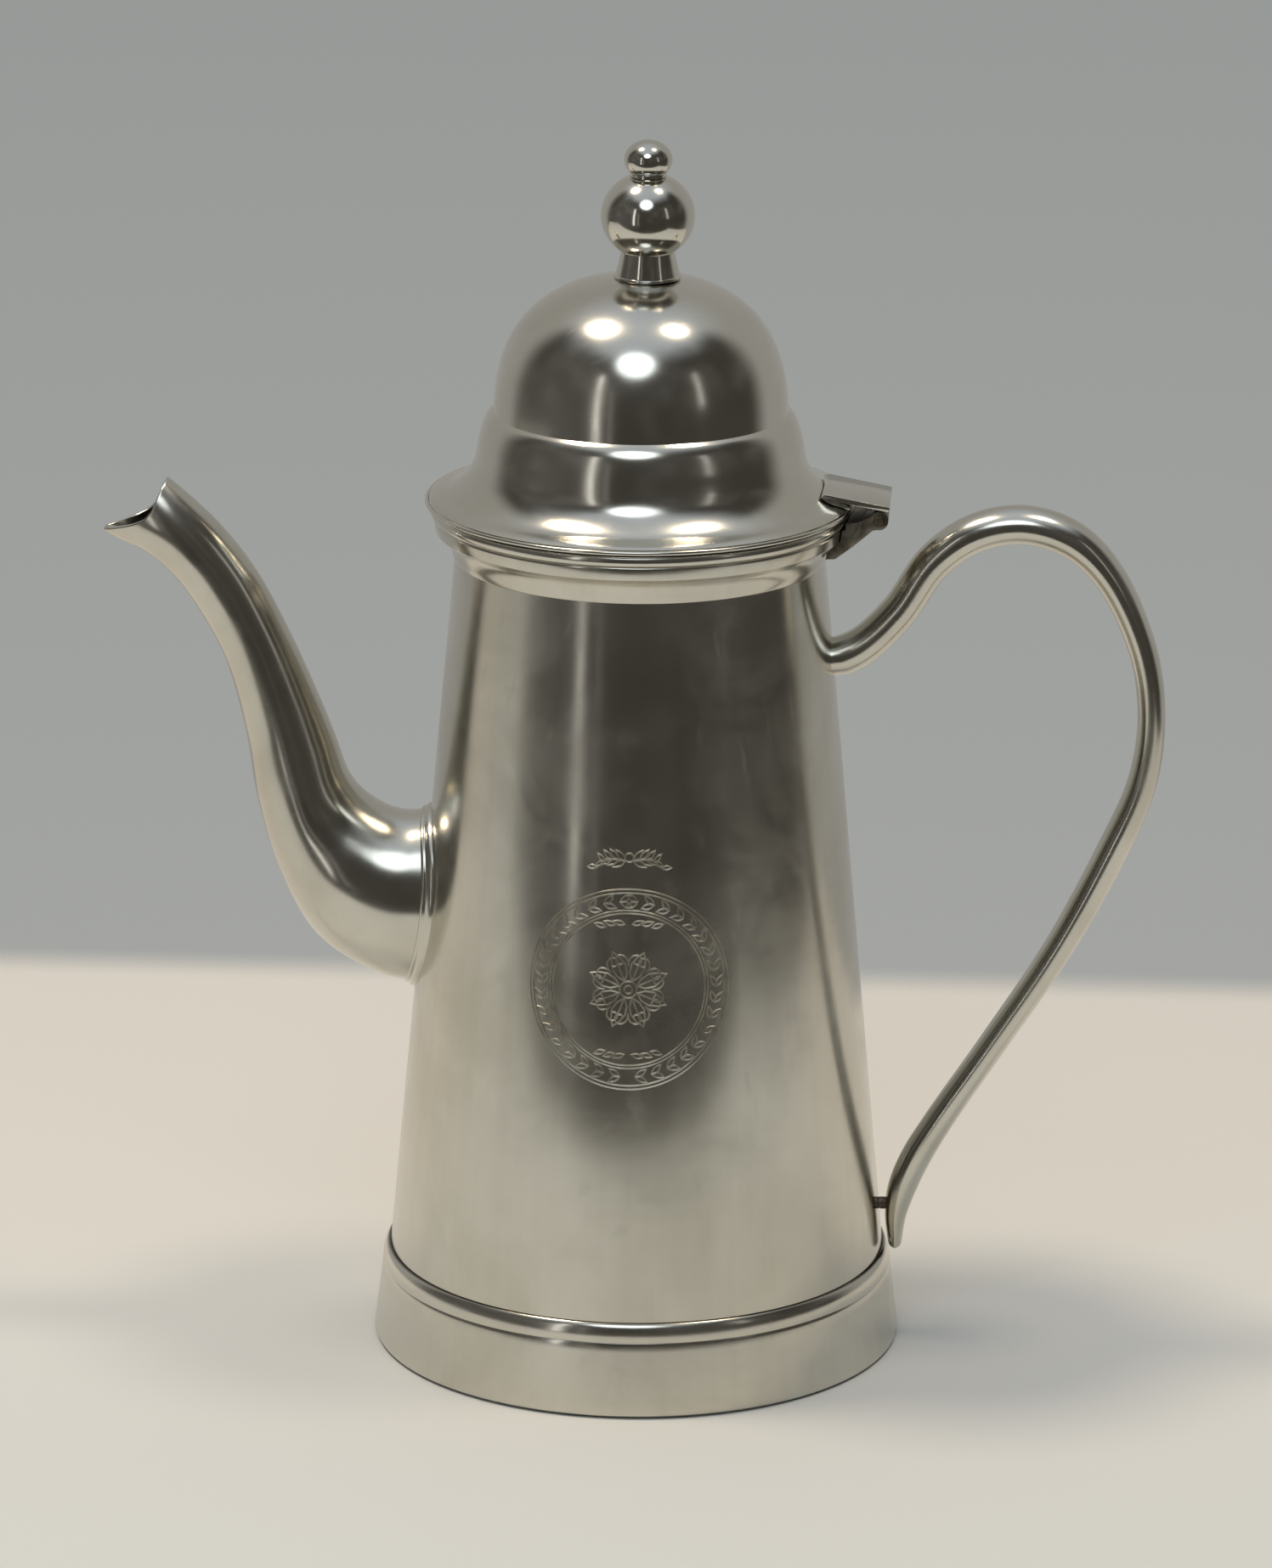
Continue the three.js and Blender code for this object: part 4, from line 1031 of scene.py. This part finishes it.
class POT_OT_engraving(bpy.types.Operator):
    """Lays a leaf wreath with a rosette on the side of the body, as fine ridges grooved down the middle"""

    bl_idname = "coffee_pot.engraving"
    bl_label = "Engraving"

    def execute(self, context):
        s = sizes()
        half = s.engraving_line / MM / 2
        raised, floor, sunk = 0.07, 0.012, -0.04
        section = bpy.data.curves.new("groove_section", "CURVE")
        section.dimensions = "2D"
        groove = [(-half, sunk), (-half, 0.0), (-half * 0.62, raised), (0, floor), (half * 0.62, raised),
                  (half, 0.0), (half, sunk)]
        spline = section.splines.new("POLY")
        spline.points.add(len(groove) - 1)
        for point, place in zip(spline.points, groove):
            point.co = (*place, 0, 1)
        spline.use_cyclic_u = True
        section_object = bpy.data.objects.new("groove_section", section)
        lines = bpy.data.curves.new("engraving_lines", "CURVE")
        lines.dimensions = "2D"
        lines.fill_mode = "NONE"
        lines.bevel_mode, lines.bevel_object, lines.use_fill_caps = "OBJECT", section_object, True
        for points, closed in wreath_strokes(s.engraving_radius / MM):
            spline = lines.splines.new("POLY")
            spline.points.add(len(points) - 1)
            for point, place in zip(spline.points, points):
                point.co = (place[0], place[1], 0, 1)
            spline.use_cyclic_u = closed
        lines_object = bpy.data.objects.new("engraving_lines", lines)
        for obj in (section_object, lines_object):
            bpy.context.scene.collection.objects.link(obj)
        bpy.context.view_layer.update()
        finished_lines = lines_object.evaluated_get(bpy.context.evaluated_depsgraph_get())
        flat = bpy.data.meshes.new_from_object(finished_lines)
        bm = bmesh.new()
        bm.from_mesh(flat)
        bpy.data.meshes.remove(flat)
        for obj, data in ((lines_object, lines), (section_object, section)):
            bpy.data.objects.remove(obj)
            bpy.data.curves.remove(data)
        bmesh.ops.remove_doubles(bm, verts=bm.verts, dist=1e-4)
        turn, slope = math.radians(1.0), wall_slope()
        for v in bm.verts:
            height = s.engraving_height / MM + v.co.y * math.cos(slope) + v.co.z * math.sin(slope)
            radius = wall_radius(height) + v.co.z * math.cos(slope)
            angle = v.co.x / radius + turn
            v.co = Vector((radius * math.sin(angle), -radius * math.cos(angle), height)) * MM
        bmesh.ops.recalc_face_normals(bm, faces=bm.faces)
        piece("engraved_wreath", bm, "pot", [], cut_silver(), sharp=20)
        return {"FINISHED"}


# ---------------------------------------------------------------- Stage

CAMERA_TURN = 3.5
CAMERA_TILT = 16.7
CAMERA_ROLL = 0.3
CAMERA_DISTANCE = 1.5355
CAMERA_TARGET = Vector((-0.0006, 0.0, 0.11704))
CAMERA_LENS = 173.56
TABLE_BACK = 0.232
TABLE_FRONT = -0.32
TABLE_LEFT = -1.1
TABLE_RIGHT = 0.5
TABLE_FADE = 0.012


def studio_world(context):
    """Soft light from above, a pale tent behind the pot and a dim room in front of it."""
    st = studio()
    world = bpy.data.worlds.new("studio")
    world.use_nodes = True
    context.scene.world = world
    tree = world.node_tree
    tree.nodes.clear()
    ray = add(tree, "ShaderNodeTexCoord", (-8, 0)).outputs["Generated"]
    part = add(tree, "ShaderNodeSeparateXYZ", (-7, 0), Vector=ray)
    around = maths(tree, (-6, 0), "ARCTAN2", part.outputs["X"], maths(tree, (-7, 1), "MULTIPLY",
                   part.outputs["Y"], -1.0))
    rise = maths(tree, (-6, 1), "ARCSINE", part.outputs["Z"])
    side = maths(tree, (-5, 0), "ABSOLUTE", around)
    front = ranged(tree, (-4, 0), side, math.radians(98), math.radians(122), 1.0, 0.0)
    patch = add(tree, "ShaderNodeTexNoise", (-6, 3), Vector=ray, Scale=2.2, Detail=3.0)
    level = maths(tree, (-5, 4), "SUBTRACT", rise, 0.25)
    uneven = maths(tree, (-5, 3), "MULTIPLY_ADD", patch.outputs[0], 0.5, level)
    above = ranged(tree, (-4, 1), uneven, math.radians(40), math.radians(66))
    tent_high = ranged(tree, (-4, 2), rise, math.radians(35), math.radians(75))
    leftward = maths(tree, (-5, 5), "ABSOLUTE", maths(tree, (-6, 5), "ADD", around, math.radians(66)))
    glow = maths(tree, (-3, 5), "MULTIPLY", ranged(tree, (-4, 5), leftward, 0.1, 0.8, 1.0, 0.0), 0.5)
    walls = maths(tree, (-3, 4), "ADD", glow, ranged(tree, (-4, 4), patch.outputs[0], 0.45, 0.75, 0.0, 0.6))
    lighter = [c + 0.09 for c in st.room]
    dim = blended(tree, (-2, 4), walls, (*st.room, 1), (*lighter, 1))
    room = blended(tree, (-3, 0), above, dim, (*st.ceiling, 1))
    tent = blended(tree, (-3, 1), tent_high, (*st.tent, 1), (*st.ceiling, 1))
    light = blended(tree, (-2, 0), front, tent, room)
    shown = ranged(tree, (-3, 2), part.outputs["Z"], -0.32, -0.17, smooth=False)
    plain = blended(tree, (-2, 2), shown, (*st.backdrop_foot, 1), (*st.backdrop_top, 1))
    path = add(tree, "ShaderNodeLightPath", (-1, -1))
    final = blended(tree, (2, 0), path.outputs["Is Camera Ray"], light, plain)
    background = add(tree, "ShaderNodeBackground", (3, 0), Color=final, Strength=1.0)
    output = tree.nodes.new("ShaderNodeOutputWorld")
    tree.links.new(background.outputs[0], output.inputs["Surface"])


def soft_light(name, place, aim, width, height, watts, tint):
    lamp = bpy.data.lights.new(name, "AREA")
    lamp.shape = "RECTANGLE" if height > 4 * width else "ELLIPSE"
    lamp.size, lamp.size_y = width, height
    lamp.energy, lamp.color = watts, tint
    obj = bpy.data.objects.new(name, lamp)
    obj.location = place
    obj.rotation_mode = "QUATERNION"
    obj.rotation_quaternion = (Vector(aim) - Vector(place)).to_track_quat("-Z", "Y")
    bpy.context.scene.collection.objects.link(obj)


def light_strip(name, azimuth, width, foot, top, watts):
    """A tall narrow light a metre away, which draws a bright upright line on the silver."""
    turn = math.radians(azimuth)
    place = Vector((math.sin(turn), -math.cos(turn), (foot + top) / 2))
    soft_light(name, place, (0, 0, place.z), width, top - foot, watts, (1.0, 0.98, 0.95))


class POT_OT_stage(bpy.types.Operator):
    """Builds the pale floor, the soft light and the camera"""

    bl_idname = "coffee_pot.stage"
    bl_label = "Stage"

    def execute(self, context):
        st = studio()
        bm = bmesh.new()
        bmesh.ops.create_grid(bm, x_segments=2, y_segments=2, size=1.0)
        middle = (TABLE_BACK + TABLE_FRONT) / 2
        reach = (TABLE_BACK - TABLE_FRONT) / 2 + TABLE_FADE
        bmesh.ops.scale(bm, verts=bm.verts, vec=((TABLE_RIGHT - TABLE_LEFT) / 2, reach, 1))
        bmesh.ops.translate(bm, verts=bm.verts, vec=((TABLE_RIGHT + TABLE_LEFT) / 2, middle, 0))
        mesh = bpy.data.meshes.new("floor")
        bm.to_mesh(mesh)
        bm.free()
        floor = bpy.data.objects.new("floor", mesh)
        bpy.context.scene.collection.objects.link(floor)
        made = bpy.data.materials.new("pale floor")
        made.use_nodes = True
        tree = made.node_tree
        shader = tree.nodes["Principled BSDF"]
        shader.inputs["Roughness"].default_value = 0.62
        shader.inputs["Specular IOR Level"].default_value = 0.25
        place = add(tree, "ShaderNodeTexCoord", (-6, 0)).outputs["Object"]
        part = add(tree, "ShaderNodeSeparateXYZ", (-5, 2), Vector=place)
        cloud = add(tree, "ShaderNodeTexNoise", (-5, 0), Vector=place, Scale=5.0, Detail=3.0)
        away = maths(tree, (-4, 1), "MULTIPLY_ADD", cloud.outputs[0], 0.12, part.outputs["Y"])
        warm = [c * w for c, w in zip(st.floor, (1.05, 1.0, 0.965))]
        feed(tree, shader, "Base Color", blended(tree, (-3, 0), ranged(tree, (-4, 0), away, -0.08, 0.2),
                                                 (*st.floor, 1), (*warm, 1)))
        feed(tree, shader, "Alpha", ranged(tree, (-4, 2), part.outputs["Y"], TABLE_BACK - TABLE_FADE,
                                           TABLE_BACK + TABLE_FADE, 1.0, 0.0))
        mesh.materials.append(made)

        studio_world(context)
        soft_light("window", (-0.04, -1.05, 1.25), (0, 0, 0.15), 0.75, 0.7, 3.0, (0.86, 0.94, 1.0))
        soft_light("lamp_left", (-0.44, 0.02, 1.3), (0, 0, 0.1), 0.26, 0.26, 6.4, (1.0, 0.84, 0.64))
        soft_light("lamp_right", (0.38, 0.0, 1.3), (0, 0, 0.1), 0.22, 0.22, 3.0, (1.0, 0.84, 0.64))

        light_strip("strip_left", -31, 0.05, 0.0, 0.8, 0.26)
        light_strip("strip_middle", -20, 0.025, 0.0, 0.6, 0.02)
        light_strip("strip_right", 52, 0.07, 0.3, 0.8, 0.08)

        turn, tilt, roll = (math.radians(a) for a in (CAMERA_TURN, CAMERA_TILT, CAMERA_ROLL))
        right = Vector((math.cos(turn), math.sin(turn), 0))
        ahead = Vector((-math.sin(turn) * math.cos(tilt), math.cos(turn) * math.cos(tilt), -math.sin(tilt)))
        up = right.cross(ahead)
        rolled_right = right * math.cos(roll) + up * math.sin(roll)
        rolled_up = up * math.cos(roll) - right * math.sin(roll)
        camera = bpy.data.objects.new("camera", bpy.data.cameras.new("camera"))
        bpy.context.scene.collection.objects.link(camera)
        camera.data.lens, camera.data.sensor_width = CAMERA_LENS, 36.0
        turned_to = Matrix((rolled_right, rolled_up, -ahead)).transposed().to_4x4()
        camera.matrix_world = Matrix.Translation(CAMERA_TARGET - ahead * CAMERA_DISTANCE) @ turned_to
        camera.data.clip_start, camera.data.clip_end = 0.05, 50.0
        context.scene.camera = camera
        context.scene.view_settings.view_transform = "Standard"
        return {"FINISHED"}


# ---------------------------------------------------------------- Panel and registration

OPERATORS = (POT_OT_body, POT_OT_foot, POT_OT_mouth, POT_OT_spout, POT_OT_handle, POT_OT_hinge, POT_OT_lid,
             POT_OT_finial, POT_OT_engraving, POT_OT_stage)
GROUPS = (("pot_sizes", PotSizes), ("pot_finish", PotFinish), ("pot_studio", StudioSettings))


class POT_PT_panel(bpy.types.Panel):
    """Lists the settings and the steps that build the pot"""

    bl_idname = "POT_PT_panel"
    bl_label = "Coffee Pot"
    bl_space_type = "VIEW_3D"
    bl_region_type = "UI"
    bl_category = "Coffee Pot"

    def draw(self, context):
        for holder, group in GROUPS:
            box = self.layout.box()
            box.label(text=group.__doc__)
            for key in group.__annotations__:
                box.prop(getattr(context.scene, holder), key)
        for operator in OPERATORS:
            self.layout.operator(operator.bl_idname)


def register():
    for holder, group in GROUPS:
        bpy.utils.register_class(group)
        setattr(bpy.types.Scene, holder, bpy.props.PointerProperty(type=group))
    for made in (*OPERATORS, POT_PT_panel):
        bpy.utils.register_class(made)


def unregister():
    for made in reversed((*OPERATORS, POT_PT_panel)):
        bpy.utils.unregister_class(made)
    for holder, group in reversed(GROUPS):
        delattr(bpy.types.Scene, holder)
        bpy.utils.unregister_class(group)


def main():
    register()
    for operator in OPERATORS:
        family, name = operator.bl_idname.split(".")
        getattr(getattr(bpy.ops, family), name)()


if __name__ == "__main__":
    main()
